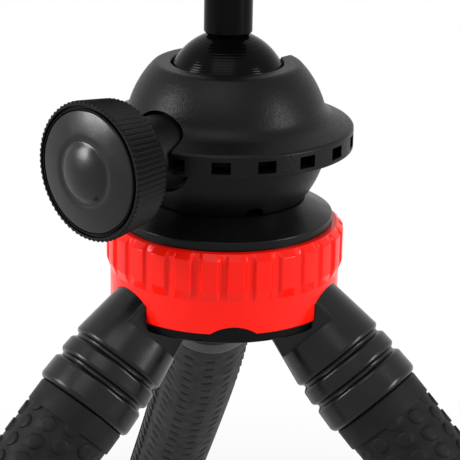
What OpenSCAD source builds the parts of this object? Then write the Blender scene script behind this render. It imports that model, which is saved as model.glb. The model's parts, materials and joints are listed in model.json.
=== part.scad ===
// Table-top tripod with three bendable, rubber-covered legs and a ball head.
// Heights are measured from the lower edge of the red ring. The finished model is lowered
// so that its origin is the centre of the camera seat, with +Z up the stem.
// Azimuths are measured from the front (-Y) towards the right (+X).

/* [Camera seat] */
// Diameter of the camera thread
thread_d = 6.35; // [5:0.05:8]
// Length of thread above the seat
thread_proud = 5.5; // [4:0.1:8]
// Diameter of the screw's shank, which carries the lock wheel
shank_d = 8; // [7.2:0.1:8.4]
// Length of shank held in the stem
shank_grip = 6; // [4:0.5:10]
// Diameter of the lock wheel over its ridges
wheel_d = 30; // [24:0.5:40]
// Thickness of the lock wheel
wheel_h = 6.8; // [4:0.1:10]
// Number of ridges round the lock wheel
wheel_ridges = 60; // [36:1:80]
// Thickness of the rubber pad
pad_h = 1.2; // [0.6:0.1:3]
// Width of the rubber pad's ring
pad_w = 7.5; // [3:0.5:8]

/* [Stem and ball] */
// Diameter of the stem
stem_d = 10; // [9:0.1:11]
// Length of the plain stem above the ball
stem_l = 14; // [13:0.5:30]
// Height of the flare at the top of the stem
flare_h = 4; // [2:0.5:8]
// Diameter of the stem's shoulder
shoulder_d = 18; // [14:0.5:22]
// Thickness of the stem's shoulder
shoulder_h = 1.5; // [1:0.1:4]
// Diameter of the stem's spigot in the ball
spigot_d = 6; // [4:0.1:7]
// Length of the stem's spigot in the ball
spigot_l = 8; // [5:0.5:11]
// Diameter of the ball
ball_d = 25.2; // [24:0.1:26]
// Height of the ball's centre
ball_z = 44.9; // [44:0.1:46]

/* [Housing] */
// Radius of the round housing
housing_r = 21.2; // [20.8:0.1:21.6]
// Height of the housing's centre
housing_z = 36.1; // [35.5:0.1:36.5]
// Height where the two shells part
split_z = 33.7; // [33:0.1:34]
// Height of the dome's rim above the ball's centre
rim_over = 6.1; // [5:0.1:7]
// Gap between the rim and the ball
mouth_gap = 0.7; // [0.4:0.1:1]
// Radius of the skirt
skirt_r = 26.4; // [25.5:0.1:28]
// Height of the skirt's upright face
skirt_h = 4.3; // [4:0.1:4.6]
// Bevel along the skirt's upper edge
skirt_bevel = 0.5; // [0.2:0.1:0.8]
// Rise of the skirt's sloped top
skirt_rise = 2.4; // [1.5:0.1:3]
// Wall of the skirt
skirt_wall = 1.5; // [1:0.1:2]
// Windows round the skirt, counting the one that the knob takes
window_count = 18; // [12:1:22]
// Width of a window
window_w = 3.8; // [2:0.1:4.5]
// Height of a window
window_h = 2.5; // [1.5:0.1:3]
// Radius of the bowl's collar inside the dome
collar_fit_r = 17.5; // [17:0.1:17.8]
// Top of the bowl's collar inside the dome
collar_fit_z = 41.5; // [40.8:0.1:42]
// Radius of the cavity round the ball seat
cavity_r = 13; // [13:0.1:13.5]
// Floor of the cavity
cavity_z = 29; // [28.5:0.1:30]
// Thickness of the bowl's floor
bowl_floor = 2.5; // [2:0.1:3]
// Radius of the pocket for the pan nut
pocket_r = 8; // [7:0.1:9]
// Radius of the half-round hole at the bowl's foot
drain_r = 2.2; // [1:0.1:2.4]
// Azimuth of the half-round hole
drain_azimuth = 15.5; // [0:0.5:40]
// Height of the ball seat's upper edge
seat_top_z = 40.5; // [39.5:0.1:41]
// Radius of the hole through the ball seat
seat_hole_r = 6; // [5.5:0.1:7]

/* [Clamp knob] */
// Azimuth of the knob
knob_azimuth = -47; // [-60:1:-30]
// Height of the knob's axis
knob_z = 35.7; // [35:0.1:36]
// Diameter of the knob over its ridges
knob_d = 28.2; // [24:0.1:30]
// Length of the ridged rim
knob_h = 9.3; // [7:0.1:11]
// Distance from the head's axis to the back of the rim
knob_back = 30.7; // [29.5:0.1:33]
// Number of ridges round the knob
knob_ridges = 74; // [48:1:84]
// Depth of the ridges on the knob and the lock wheel
ridge_depth = 0.5; // [0.3:0.05:0.7]
// Radius of the knob's neck
neck_r = 7.6; // [7:0.1:7.8]
// Gap between the neck's end and the bowl's collar
neck_gap = 1.4; // [1.1:0.1:2]
// Radius of the hole that the neck enters
neck_hole_r = 8.4; // [8.2:0.1:8.8]
// Radius of the round cap
cap_r = 12.3; // [11:0.1:12.8]
// Depth of the cap's seat in the knob
cap_seat = 1.6; // [1:0.1:2.5]
// Height of the cap's crown above the rim
cap_crown = 1.6; // [0.8:0.1:2]
// Radius of the raised dome on the cap
cap_dome_r = 4.8; // [3:0.1:5.5]
// Height of the raised dome on the cap
cap_dome_h = 0.6; // [0.3:0.1:1]
// Diameter of the clamp screw
clamp_d = 6; // [5:0.1:6.5]
// Radius of the brass insert
insert_r = 4.5; // [4.1:0.1:4.9]
// Length of the brass insert
insert_l = 3.3; // [2.5:0.1:3.4]
// Radius of the brake shoe
shoe_r = 4; // [3.4:0.1:4.2]
// Distance from the head's axis to the back of the brake shoe
shoe_back = 12.6; // [12.3:0.1:12.7]
// Distance from the head's axis to the front of the brake shoe
shoe_front = 7; // [6.5:0.1:8]

/* [Base plate and ring] */
// Radius of the base plate
plate_r = 22.55; // [21:0.1:23.2]
// Height of the base plate's upright edge
plate_edge = 1.9; // [1:0.1:2.5]
// Height of the base plate
plate_h = 5.3; // [4.5:0.1:6]
// Radius of the base plate's top
plate_top_r = 16.8; // [16.4:0.1:18]
// Radius of the ring's plain lower band
ring_r = 24.2; // [23.5:0.1:25.5]
// Height of the ring
ring_h = 17.2; // [16.5:0.1:18]
// Wall of the ring
ring_wall = 2.66; // [2:0.02:2.9]
// Height of the plain lower band
band_h = 7.1; // [7:0.1:9]
// How far the teeth stand out from the lower band
tooth_out = 0.8; // [0.75:0.05:1.2]
// Height of the slope under the teeth
tooth_rise = 2.2; // [0.8:0.1:3]
// Number of teeth round the ring
tooth_count = 28; // [18:1:36]
// Azimuth of the groove nearest the front
tooth_azimuth = -5.4; // [-12:0.1:12]
// Width of a groove at its floor
groove_w = 1.3; // [0.6:0.1:1.8]
// Depth of a groove
groove_depth = 0.65; // [0.3:0.05:0.7]
// Slope of a groove's sides, as width gained by depth
groove_slope = 0.8; // [0:0.1:1]
// Chamfer on the ring's upper edge, measured up
ring_chamfer_h = 1.3; // [0.5:0.1:2.2]
// Chamfer on the ring's upper edge, measured in
ring_chamfer_w = 1.4; // [0.4:0.1:1.8]
// Width of a scallop in the ring's lower edge
scallop_w = 9.8; // [6:0.1:10.4]
// Height of a scallop in the ring's lower edge
scallop_h = 1.7; // [1:0.1:2.2]

/* [Hub] */
// Thickness of the hub cover
cover_h = 2.1; // [1.6:0.1:3]
// Distance from the ring's lower band in to the cover's edge
cover_inset = 0.5; // [0.4:0.05:2]
// Distance from the ring's lower band in to the face of an ear
ear_inset = 0.35; // [0.1:0.05:0.6]
// How far an ear reaches into the hub behind the ring
ear_depth = 2; // [1:0.1:3]
// Diameter of the centre bolt
bolt_d = 6.35; // [5:0.05:8]
// Radius of the centre bolt's head
bolt_head_r = 5.5; // [5:0.1:6]
// Height of the centre bolt's head
bolt_head_h = 4.5; // [3:0.1:6]
// Thickness of the nylon pan washer
washer_h = 0.6; // [0.4:0.1:1]
// Radius of the nylon pan washer
washer_r = 7; // [5.8:0.1:7]
// Height of the pan nut
nut_h = 3; // [2:0.1:3.5]
// Width of the pan nut across its flats
nut_flats = 10; // [9.5:0.1:11]
// Radius of a cover screw's shank
screw_r = 1.5; // [1:0.1:2]
// Radius of a cover screw's head
screw_head_r = 2.8; // [2.2:0.1:3.2]
// Length of a cover screw
screw_l = 9; // [6:0.5:14]
// Distance from the head's axis to a cover screw
screw_ring_r = 15; // [12:0.1:17]

/* [Legs] */
// Angle of a leg from the vertical at the hub
splay_angle = 44.5; // [40:0.5:48]
// Angle of a leg's third length from the vertical
third_splay_angle = 42; // [30:0.5:50]
// Angle of a leg's last length from the vertical
last_splay_angle = 36; // [25:0.5:50]
// Sideways lean of the back leg's second length
second_lean_angle = 6; // [0:0.5:10]
// Sideways lean of the back leg's last two lengths
last_lean_angle = 9; // [0:0.5:15]
// Distance from the ring's lower band out to the collar's first groove
root_out = 3.1; // [2.6:0.01:4.2]
// Depth of the collar's first groove below the ring
root_drop = 9.7; // [9.2:0.1:11]
// Length of the collar behind its first groove
collar_back = 8.7; // [8:0.1:8.8]
// Length of the collar from its first groove to its second
collar_mid = 5; // [4:0.1:7]
// Length of the collar from its second groove to its end
collar_front = 6.5; // [5:0.1:9]
// Radius of the collar at its square back end
collar_back_r = 9.3; // [8.8:0.1:9.7]
// Radius of the collar beside its first groove
collar_mid_r = 10.5; // [10:0.1:11]
// Radius of the collar at its end
collar_end_r = 11; // [10.6:0.1:12]
// Width of a groove round the collar
collar_groove_w = 0.9; // [0.5:0.1:1.4]
// Depth of a groove round the collar
collar_groove_depth = 0.9; // [0.4:0.1:1.4]
// Width of the root across its flat sides
tongue_w = 11.8; // [9:0.1:13]
// Length of the root inside the hub
tongue_l = 8.3; // [6:0.1:8.5]
// Radius of the sleeve's plug in the collar
plug_r = 8; // [7:0.1:8.6]
// Length of the sleeve's plug in the collar
plug_l = 7.5; // [5:0.1:10]
// Radius of the sleeve's plain band
sleeve_band_r = 10.05; // [9.8:0.05:10.4]
// Length of the sleeve's plain band
sleeve_band_l = 5; // [3:0.1:8]
// Radius of the sleeve between its dots
sleeve_r = 9.65; // [9.3:0.05:10]
// Distance from the collar's first groove to the first bend
first_l = 38; // [34:1:50]
// Distance from one bend to the next
flex_l = 46; // [38:1:60]
// Distance from the last bend to the centre of the foot's round end
tip_l = 42; // [36:1:60]
// Radius of the round knuckle at a bend
knuckle_r = 9.3; // [9:0.05:9.4]
// Angle that a bend has room for
bend_angle = 46; // [40:1:52]
// Radius of the bendable core wire
core_r = 2.6; // [1.5:0.1:3.5]
// Radius of the rubber foot
foot_r = 10.6; // [10.2:0.1:12]
// Length of sleeve inside the foot
foot_cup = 6; // [4:0.5:9]
// Thickness of rubber between the sleeve's end and the round end's centre
foot_web = 4; // [2:0.5:8]

/* [Fits] */
// Running clearance of shafts and the ball
run_fit = 0.05; // [0.03:0.01:0.1]
// Clearance between shells and plugs that stay put
part_fit = 0.1; // [0.05:0.01:0.15]
// Clearance between the stem and the slot that it drops into
slot_fit = 0.4; // [0.3:0.05:0.6]
// Clearance between rubber knuckles and their sockets
rubber_fit = 0.3; // [0.2:0.05:0.4]

/* [Hidden] */
$fn = 96;
// Facets round the large spheres that crown the knob's cap
crown_facets = 720;
// Overshoot of cutters past the faces that they open
over = 1;
black = "#1b1b1d";
rubber = "#262628";
nylon = "#d9d6cc";
steel = "#a9abb0";
red = "#f0361f";
brass = "#b8923a";
ball_r = ball_d / 2;
stem_r = stem_d / 2;
thread_r = thread_d / 2;
shank_r = shank_d / 2;
wheel_r = wheel_d / 2;
clamp_r = clamp_d / 2;
knob_r = knob_d / 2;
bolt_r = bolt_d / 2;
// Heights up the stem
flat_z = ball_z + sqrt(ball_r * ball_r - stem_r * stem_r);
flare_z = flat_z + stem_l;
shoulder_z = flare_z + flare_h;
wheel_z = shoulder_z + shoulder_h;
pad_z = wheel_z + wheel_h;
seat_z = pad_z + pad_h;
// Housing and base
rim_z = ball_z + rim_over;
mouth_r = sqrt(ball_r * ball_r - rim_over * rim_over) + mouth_gap;
race_r = ball_r + part_fit;
skirt_top = split_z + skirt_h;
window_z = split_z + skirt_h / 2;
plate_top = ring_h + plate_h;
floor_top = plate_top + bowl_floor;
slot_azimuth = knob_azimuth + 180;
slot_r = stem_r + slot_fit;
// Half width between the slot's straight sides, just inside its round bottom
slot_cheek = slot_r * cos(12);
insert_back = collar_fit_r - insert_l;
neck_in = collar_fit_r + neck_gap;
knob_front = knob_back + knob_h;
// Ring and hub
bore_r = ring_r - ring_wall;
hub_r = bore_r - part_fit;
tooth_r = ring_r + tooth_out;
cover_r = ring_r - cover_inset;
scallop_r = scallop_h / 2 + scallop_w * scallop_w / (8 * scallop_h);
ear_r = scallop_r - part_fit;
ear_start = hub_r - ear_depth;
// Legs, each with its name, its azimuth and the lean of its four lengths
legs = [
    ["left", -60, [0, 0, 0, 0]],
    ["right", 60, [0, 0, 0, 0]],
    ["back", 180, [0, second_lean_angle, last_lean_angle, last_lean_angle]]
];
splay_angles = [splay_angle, splay_angle, third_splay_angle, last_splay_angle];
lengths = [first_l, flex_l, flex_l, tip_l];
collar_end = collar_mid + collar_front;
// How fast the collar's back and its root narrow towards the hub
collar_taper = (collar_mid_r - collar_back_r) / collar_back;
// Radius of the root at its end inside the hub
tongue_end_r = collar_back_r - part_fit - collar_taper * tongue_l;
socket_r = knuckle_r + rubber_fit;
bend_gap = sleeve_r * tan(bend_angle / 2);
sleeve_end = tip_l - foot_web;
scallop_azimuths = [0, 120, 240];

head_nodes = [
    "camera_screw", "seat_pad", "lock_wheel", "stem", "ball", "dome_shell", "bowl_shell",
    "ball_seat", "brake_shoe", "clamp_insert", "clamp_screw", "knob_body", "knob_cap",
    "base_plate", "centre_bolt", "pan_washer", "pan_nut"
];
hub_nodes = ["grip_ring", "hub_body", "hub_cover", "cover_screws"];
leg_pieces = [
    "collar", "sleeve_1", "sleeve_2", "sleeve_3", "sleeve_4",
    "core_1", "core_2", "core_3", "core_4", "foot"
];

// Direction of a leg's length, k, from the hub outwards
function leg_direction(leg, k) =
    let (polar = splay_angles[k], azimuth = leg[1] + leg[2][k])
    [sin(polar) * sin(azimuth), -sin(polar) * cos(azimuth), -cos(polar)];
// Start of a leg's length, k: the first groove for 0, then each bend
function leg_point(leg, k) =
    k == 0
    ? [(ring_r + root_out) * sin(leg[1]), -(ring_r + root_out) * cos(leg[1]), -root_drop]
    : leg_point(leg, k - 1) + lengths[k - 1] * leg_direction(leg, k - 1);

// Lowers a piece from the ring's frame to the camera seat's frame
module from_seat() {
    translate([0, 0, -seat_z]) children();
}
// Turns +X to an azimuth
module at_azimuth(azimuth) {
    rotate([0, 0, azimuth - 90]) children();
}
// Turns +Z outwards along the knob's axis
module at_knob() {
    at_azimuth(knob_azimuth) translate([0, 0, knob_z]) rotate([0, 90, 0]) children();
}
// Puts +Z along a leg's length, k, from its start
module at_leg(leg, k) {
    translate(leg_point(leg, k))
        rotate([0, 180 - splay_angles[k], leg[1] + leg[2][k] - 90])
            children();
}
// A ring of rectangular section
module ring(outer, inner, height) {
    difference() {
        cylinder(r = outer, h = height);
        translate([0, 0, -over]) cylinder(r = inner, h = height + 2 * over);
    }
}
// A disc with straight ridges and chamfered ends
module ridged_disc(radius, height, ridges) {
    root = radius - ridge_depth;
    bevel = 1.5 * ridge_depth;
    beyond = radius + ridge_depth;
    intersection() {
        linear_extrude(height)
            polygon([for (i = [0 : 2 * ridges - 1])
                (i % 2 == 0 ? radius : root) * [cos(180 * i / ridges), sin(180 * i / ridges)]]);
        rotate_extrude()
            polygon([
                [0, 0], [radius - bevel, 0], [beyond, bevel + ridge_depth],
                [beyond, height - bevel - ridge_depth], [radius - bevel, height], [0, height]
            ]);
    }
}
// The way that the stem takes when it drops to one side
module stem_slot() {
    at_azimuth(slot_azimuth) translate([0, 0, ball_z]) {
        rotate([0, 90, 0]) cylinder(r = slot_r, h = skirt_r + over);
        translate([0, -slot_cheek, 0]) cube([skirt_r + over, 2 * slot_cheek, rim_over + over]);
    }
}
// The flat-sided root of a leg, grown by a clearance and drawn out past the collar's back end
module leg_root(fit, out) {
    length = tongue_l + fit + out;
    start_r = tongue_end_r + fit;
    end_r = start_r + collar_taper * length;
    translate([0, 0, -collar_back - tongue_l - fit]) intersection() {
        cylinder(r1 = start_r, r2 = end_r, h = length);
        translate([-end_r - over, -tongue_w / 2 - fit, 0])
            cube([2 * (end_r + over), tongue_w + 2 * fit, length]);
    }
}
// Room for a leg's root in the ring, the hub and the cover
module leg_root_room() {
    for (leg = legs) at_leg(leg, 0) leg_root(part_fit, collar_back);
}
// Room for the back of a leg's collar in the cover
module collar_room() {
    for (leg = legs)
        at_leg(leg, 0) translate([0, 0, -collar_back - part_fit])
            cylinder(r1 = collar_back_r + part_fit, r2 = collar_mid_r + part_fit, h = collar_back + part_fit);
}

module camera_screw() {
    chamfer = thread_r / 6;
    straight = pad_h + thread_proud - chamfer;
    color(steel) from_seat() {
        translate([0, 0, wheel_z - shank_grip]) cylinder(r = shank_r, h = wheel_h + shank_grip);
        translate([0, 0, pad_z]) cylinder(r = thread_r, h = straight);
        translate([0, 0, pad_z + straight])
            cylinder(r1 = thread_r, r2 = thread_r - chamfer, h = chamfer);
    }
}
module seat_pad() {
    outer = wheel_r - 2 * ridge_depth;
    color(rubber) from_seat() translate([0, 0, pad_z]) ring(outer, outer - pad_w, pad_h);
}
module lock_wheel() {
    color(black) from_seat() translate([0, 0, wheel_z]) difference() {
        ridged_disc(wheel_r, wheel_h, wheel_ridges);
        translate([0, 0, -over]) cylinder(r = shank_r + run_fit, h = wheel_h + 2 * over);
    }
}
module stem() {
    chamfer = stem_r / 6;
    color(black) from_seat() difference() {
        union() {
            translate([0, 0, flat_z - spigot_l]) cylinder(d = spigot_d, h = spigot_l + over);
            translate([0, 0, flat_z]) cylinder(r1 = stem_r - chamfer, r2 = stem_r, h = chamfer);
            translate([0, 0, flat_z + chamfer]) cylinder(r = stem_r, h = stem_l - chamfer);
            translate([0, 0, flare_z]) cylinder(r1 = stem_r, d2 = shoulder_d, h = flare_h);
            translate([0, 0, shoulder_z]) cylinder(d = shoulder_d, h = shoulder_h);
        }
        translate([0, 0, wheel_z - shank_grip]) cylinder(r = shank_r, h = shank_grip + over);
    }
}
module ball() {
    hole_l = spigot_l + part_fit;
    color(black) from_seat() difference() {
        translate([0, 0, ball_z]) sphere(r = ball_r);
        translate([-ball_r, -ball_r, flat_z]) cube(ball_d);
        translate([0, 0, flat_z - hole_l]) cylinder(d = spigot_d + 2 * run_fit, h = hole_l + over);
    }
}
// The round outside that both shells share, between two heights
module housing_zone(low, high) {
    intersection() {
        translate([0, 0, housing_z]) sphere(r = housing_r);
        translate([-housing_r, -housing_r, low]) cube([2 * housing_r, 2 * housing_r, high - low]);
    }
}
module skirt() {
    rotate_extrude()
        polygon([
            [collar_fit_r, split_z], [skirt_r, split_z], [skirt_r, skirt_top],
            [skirt_r - skirt_bevel, skirt_top + skirt_bevel],
            [housing_r - over, skirt_top + skirt_bevel + skirt_rise],
            [collar_fit_r, skirt_top + skirt_bevel + skirt_rise]
        ]);
}
module windows() {
    for (i = [1 : window_count - 1])
        at_azimuth(knob_azimuth + 360 * i / window_count)
            translate([skirt_r - skirt_wall - over, -window_w / 2, window_z - window_h / 2])
                cube([skirt_wall + 2 * over, window_w, window_h]);
}
module dome_shell() {
    hollow_r = skirt_r - skirt_wall;
    hollow_h = skirt_h - skirt_wall / 2;
    bore_top = collar_fit_z + part_fit;
    color(black) from_seat() difference() {
        union() {
            housing_zone(split_z, rim_z);
            skirt();
        }
        translate([0, 0, split_z - over])
            cylinder(r = collar_fit_r + part_fit, h = bore_top - split_z + over);
        translate([0, 0, split_z - over]) ring(hollow_r, housing_r + skirt_wall, hollow_h + over);
        translate([0, 0, bore_top - over]) cylinder(r = cavity_r, h = ball_z - bore_top + over);
        translate([0, 0, ball_z]) sphere(r = race_r);
        translate([0, 0, ball_z]) cylinder(r = mouth_r, h = rim_over + over);
        windows();
        at_knob() translate([0, 0, collar_fit_r - over]) cylinder(r = neck_hole_r, h = skirt_r);
        stem_slot();
    }
}
module bowl_shell() {
    color(black) from_seat() difference() {
        union() {
            housing_zone(plate_top, split_z);
            translate([0, 0, split_z - over])
                cylinder(r = collar_fit_r, h = collar_fit_z - split_z + over);
        }
        translate([0, 0, cavity_z]) cylinder(r = cavity_r, h = collar_fit_z - cavity_z + over);
        translate([0, 0, floor_top]) cylinder(r = pocket_r, h = cavity_z - floor_top + over);
        translate([0, 0, plate_top - over]) cylinder(r = bolt_r + run_fit, h = bowl_floor + 2 * over);
        at_knob() translate([0, 0, collar_fit_r]) cylinder(r = neck_hole_r, h = housing_r);
        at_knob() translate([0, 0, cavity_r - over]) cylinder(r = insert_r, h = housing_r);
        at_azimuth(drain_azimuth) translate([pocket_r + over, 0, plate_top])
            rotate([0, 90, 0]) cylinder(r = drain_r, h = housing_r);
        stem_slot();
    }
}
module ball_seat() {
    seat_r = cavity_r - part_fit;
    color(nylon) from_seat() difference() {
        translate([0, 0, cavity_z]) ring(seat_r, seat_hole_r, seat_top_z - cavity_z);
        translate([0, 0, ball_z]) sphere(r = race_r);
        at_knob() cylinder(r = shoe_r + run_fit, h = housing_r);
        stem_slot();
    }
}
module brake_shoe() {
    color(nylon) from_seat() difference() {
        at_knob() translate([0, 0, shoe_front]) cylinder(r = shoe_r, h = shoe_back - shoe_front);
        translate([0, 0, ball_z]) sphere(r = race_r);
    }
}
module clamp_insert() {
    color(brass) from_seat() at_knob() translate([0, 0, insert_back])
        ring(insert_r, clamp_r + run_fit, insert_l);
}
module clamp_screw() {
    color(steel) from_seat() at_knob() translate([0, 0, shoe_back])
        cylinder(r = clamp_r, h = knob_front - 2 * cap_seat - shoe_back);
}
module knob_body() {
    color(black) from_seat() at_knob() difference() {
        union() {
            translate([0, 0, knob_back]) ridged_disc(knob_r, knob_h, knob_ridges);
            translate([0, 0, neck_in]) cylinder(r = neck_r, h = knob_back - neck_in + over);
        }
        translate([0, 0, neck_in - over]) cylinder(r = clamp_r, h = knob_front - 2 * cap_seat - neck_in + over);
        translate([0, 0, knob_front - cap_seat]) cylinder(r = cap_r + part_fit, h = cap_seat + over);
    }
}
module knob_cap() {
    crown_r = cap_crown / 2 + cap_r * cap_r / (2 * cap_crown);
    dome_r = cap_dome_h / 2 + cap_dome_r * cap_dome_r / (2 * cap_dome_h);
    color(black) from_seat() at_knob() {
        intersection() {
            translate([0, 0, knob_front - cap_seat]) cylinder(r = cap_r, h = cap_seat + cap_crown);
            translate([0, 0, knob_front + cap_crown - crown_r]) sphere(r = crown_r, $fn = crown_facets);
        }
        intersection() {
            translate([0, 0, knob_front]) cylinder(r = cap_dome_r, h = cap_crown + cap_dome_h);
            translate([0, 0, knob_front + cap_crown + cap_dome_h - dome_r])
                sphere(r = dome_r, $fn = crown_facets);
        }
    }
}
module base_plate() {
    color(black) from_seat() translate([0, 0, ring_h]) difference() {
        union() {
            cylinder(r = plate_r, h = plate_edge);
            translate([0, 0, plate_edge])
                cylinder(r1 = plate_r, r2 = plate_top_r, h = plate_h - plate_edge);
        }
        translate([0, 0, -over]) cylinder(r = bolt_r, h = plate_h + 2 * over);
    }
}
module centre_bolt() {
    color(steel) from_seat() {
        cylinder(r = bolt_head_r, h = bolt_head_h);
        cylinder(r = bolt_r, h = floor_top + washer_h + nut_h);
    }
}
module pan_washer() {
    color(nylon) from_seat() translate([0, 0, floor_top]) ring(washer_r, bolt_r, washer_h);
}
module pan_nut() {
    color(steel) from_seat() translate([0, 0, floor_top + washer_h]) difference() {
        cylinder(r = nut_flats / 2 / cos(30), h = nut_h, $fn = 6);
        translate([0, 0, -over]) cylinder(r = bolt_r, h = nut_h + 2 * over);
    }
}
module tooth_grooves() {
    floor_r = tooth_r - groove_depth;
    reach = groove_depth + over;
    half = groove_w / 2;
    for (i = [0 : tooth_count - 1])
        at_azimuth(tooth_azimuth + 360 * i / tooth_count)
            translate([floor_r, 0, band_h])
                linear_extrude(ring_h)
                    polygon([
                        [0, -half], [reach, -half - groove_slope * reach],
                        [reach, half + groove_slope * reach], [0, half]
                    ]);
}
// Round bars along the three scallops, from inside the hub out past the ring
module scallops(radius, start) {
    for (azimuth = scallop_azimuths)
        at_azimuth(azimuth) translate([start, 0, scallop_h - scallop_r])
            rotate([0, 90, 0]) cylinder(r = radius, h = ring_r + tooth_out + over - start);
}
module grip_ring() {
    color(red) from_seat() difference() {
        rotate_extrude()
            polygon([
                [bore_r, 0], [ring_r, 0], [ring_r, band_h], [tooth_r, band_h + tooth_rise],
                [tooth_r, ring_h - ring_chamfer_h], [tooth_r - ring_chamfer_w, ring_h], [bore_r, ring_h]
            ]);
        tooth_grooves();
        leg_root_room();
        scallops(scallop_r, ear_start - part_fit);
    }
}
module hub_body() {
    color(black) from_seat() difference() {
        cylinder(r = hub_r, h = ring_h);
        translate([0, 0, -over]) cylinder(r = bolt_r, h = ring_h + 2 * over);
        translate([0, 0, -over]) cylinder(r = bolt_head_r + part_fit, h = bolt_head_h + over);
        leg_root_room();
        scallops(scallop_r, ear_start - part_fit);
        screw_places() cylinder(r = screw_r, h = screw_l);
    }
}
// Places the three cover screws with their heads flush with the cover
module screw_places() {
    for (azimuth = scallop_azimuths)
        at_azimuth(azimuth) translate([screw_ring_r, 0, -cover_h]) children();
}
module cover_screw() {
    cylinder(r1 = screw_head_r, r2 = screw_r, h = screw_head_r - screw_r);
    cylinder(r = screw_r, h = screw_l);
}
module hub_cover() {
    color(black) from_seat() difference() {
        union() {
            translate([0, 0, -cover_h]) cylinder(r = cover_r, h = cover_h);
            intersection() {
                scallops(ear_r, ear_start);
                translate([0, 0, -cover_h]) cylinder(r = ring_r - ear_inset, h = cover_h + scallop_h);
            }
        }
        leg_root_room();
        collar_room();
        screw_places() cover_screw();
    }
}
module cover_screws() {
    color(steel) from_seat() screw_places() cover_screw();
}

// One groove round the collar, cut at a distance from the first groove
module collar_groove(distance, radius) {
    translate([0, 0, distance - collar_groove_w / 2])
        ring(radius + over, radius - collar_groove_depth, collar_groove_w);
}
module collar(leg) {
    chamfer = collar_groove_depth / 2;
    second_r = (collar_mid_r + collar_end_r) / 2;
    color(black) from_seat() at_leg(leg, 0) difference() {
        union() {
            leg_root(0, over);
            rotate_extrude()
                polygon([
                    [0, -collar_back], [collar_back_r, -collar_back], [collar_mid_r, 0],
                    [second_r, collar_mid], [collar_end_r, collar_end - chamfer],
                    [collar_end_r - chamfer, collar_end], [0, collar_end]
                ]);
        }
        collar_groove(0, collar_mid_r);
        collar_groove(collar_mid, second_r);
        translate([0, 0, collar_end - plug_l]) cylinder(r = plug_r, h = plug_l + over);
        translate([0, 0, -collar_back]) cylinder(r = core_r, h = collar_back + collar_end);
    }
}
// Hole for the core wire from one distance along a length to another
module core_hole(from, to) {
    translate([0, 0, from]) cylinder(r = core_r, h = to - from);
}
// How far the core reaches into a knuckle
core_reach = knuckle_r - 1;
// Where a core starts past the bottom of a socket
core_start = socket_r + rubber_fit;
module first_sleeve(leg) {
    plug_start = collar_end - plug_l;
    color(rubber) from_seat() at_leg(leg, 0) difference() {
        union() {
            translate([0, 0, plug_start]) cylinder(r = plug_r, h = plug_l);
            translate([0, 0, collar_end]) cylinder(r = sleeve_band_r, h = sleeve_band_l);
            translate([0, 0, collar_end])
                cylinder(r = sleeve_r, h = first_l - bend_gap - collar_end);
            translate([0, 0, first_l]) sphere(r = knuckle_r);
        }
        core_hole(plug_start - over, first_l + core_reach);
    }
}
module middle_sleeve(leg, k) {
    color(rubber) from_seat() at_leg(leg, k) difference() {
        union() {
            translate([0, 0, bend_gap]) cylinder(r = sleeve_r, h = flex_l - 2 * bend_gap);
            translate([0, 0, flex_l]) sphere(r = knuckle_r);
        }
        sphere(r = socket_r);
        core_hole(0, flex_l + core_reach);
    }
}
module last_sleeve(leg) {
    color(rubber) from_seat() at_leg(leg, 3) difference() {
        translate([0, 0, bend_gap]) cylinder(r = sleeve_r, h = sleeve_end - bend_gap);
        sphere(r = socket_r);
        core_hole(0, sleeve_end + over);
    }
}
module core(leg, k) {
    start = k == 0 ? -collar_back : core_start;
    end = k == 3 ? sleeve_end : lengths[k] + core_reach;
    color(steel) from_seat() at_leg(leg, k) translate([0, 0, start]) cylinder(r = core_r, h = end - start);
}
module foot(leg) {
    cup_start = sleeve_end - foot_cup;
    color(rubber) from_seat() at_leg(leg, 3) difference() {
        union() {
            translate([0, 0, cup_start]) cylinder(r = foot_r, h = tip_l - cup_start);
            translate([0, 0, tip_l]) sphere(r = foot_r);
        }
        translate([0, 0, cup_start - over]) cylinder(r = sleeve_r, h = foot_cup + over);
    }
}

camera_screw();
seat_pad();
lock_wheel();
stem();
ball();
dome_shell();
bowl_shell();
ball_seat();
brake_shoe();
clamp_insert();
clamp_screw();
knob_body();
knob_cap();
base_plate();
centre_bolt();
pan_washer();
pan_nut();
grip_ring();
hub_body();
hub_cover();
cover_screws();
for (leg = legs) {
    collar(leg);
    first_sleeve(leg);
    middle_sleeve(leg, 1);
    middle_sleeve(leg, 2);
    last_sleeve(leg);
    core(leg, 0);
    core(leg, 1);
    core(leg, 2);
    core(leg, 3);
    foot(leg);
}
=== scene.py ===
"""Dresses a flexible leg tripod: fine meshes, finishes, light and camera round its fixed solids."""

import json
import math

import bmesh
import bpy
import numpy as np
from bpy.props import FloatProperty, FloatVectorProperty, IntProperty, PointerProperty
from mathutils import Matrix, Vector


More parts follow.
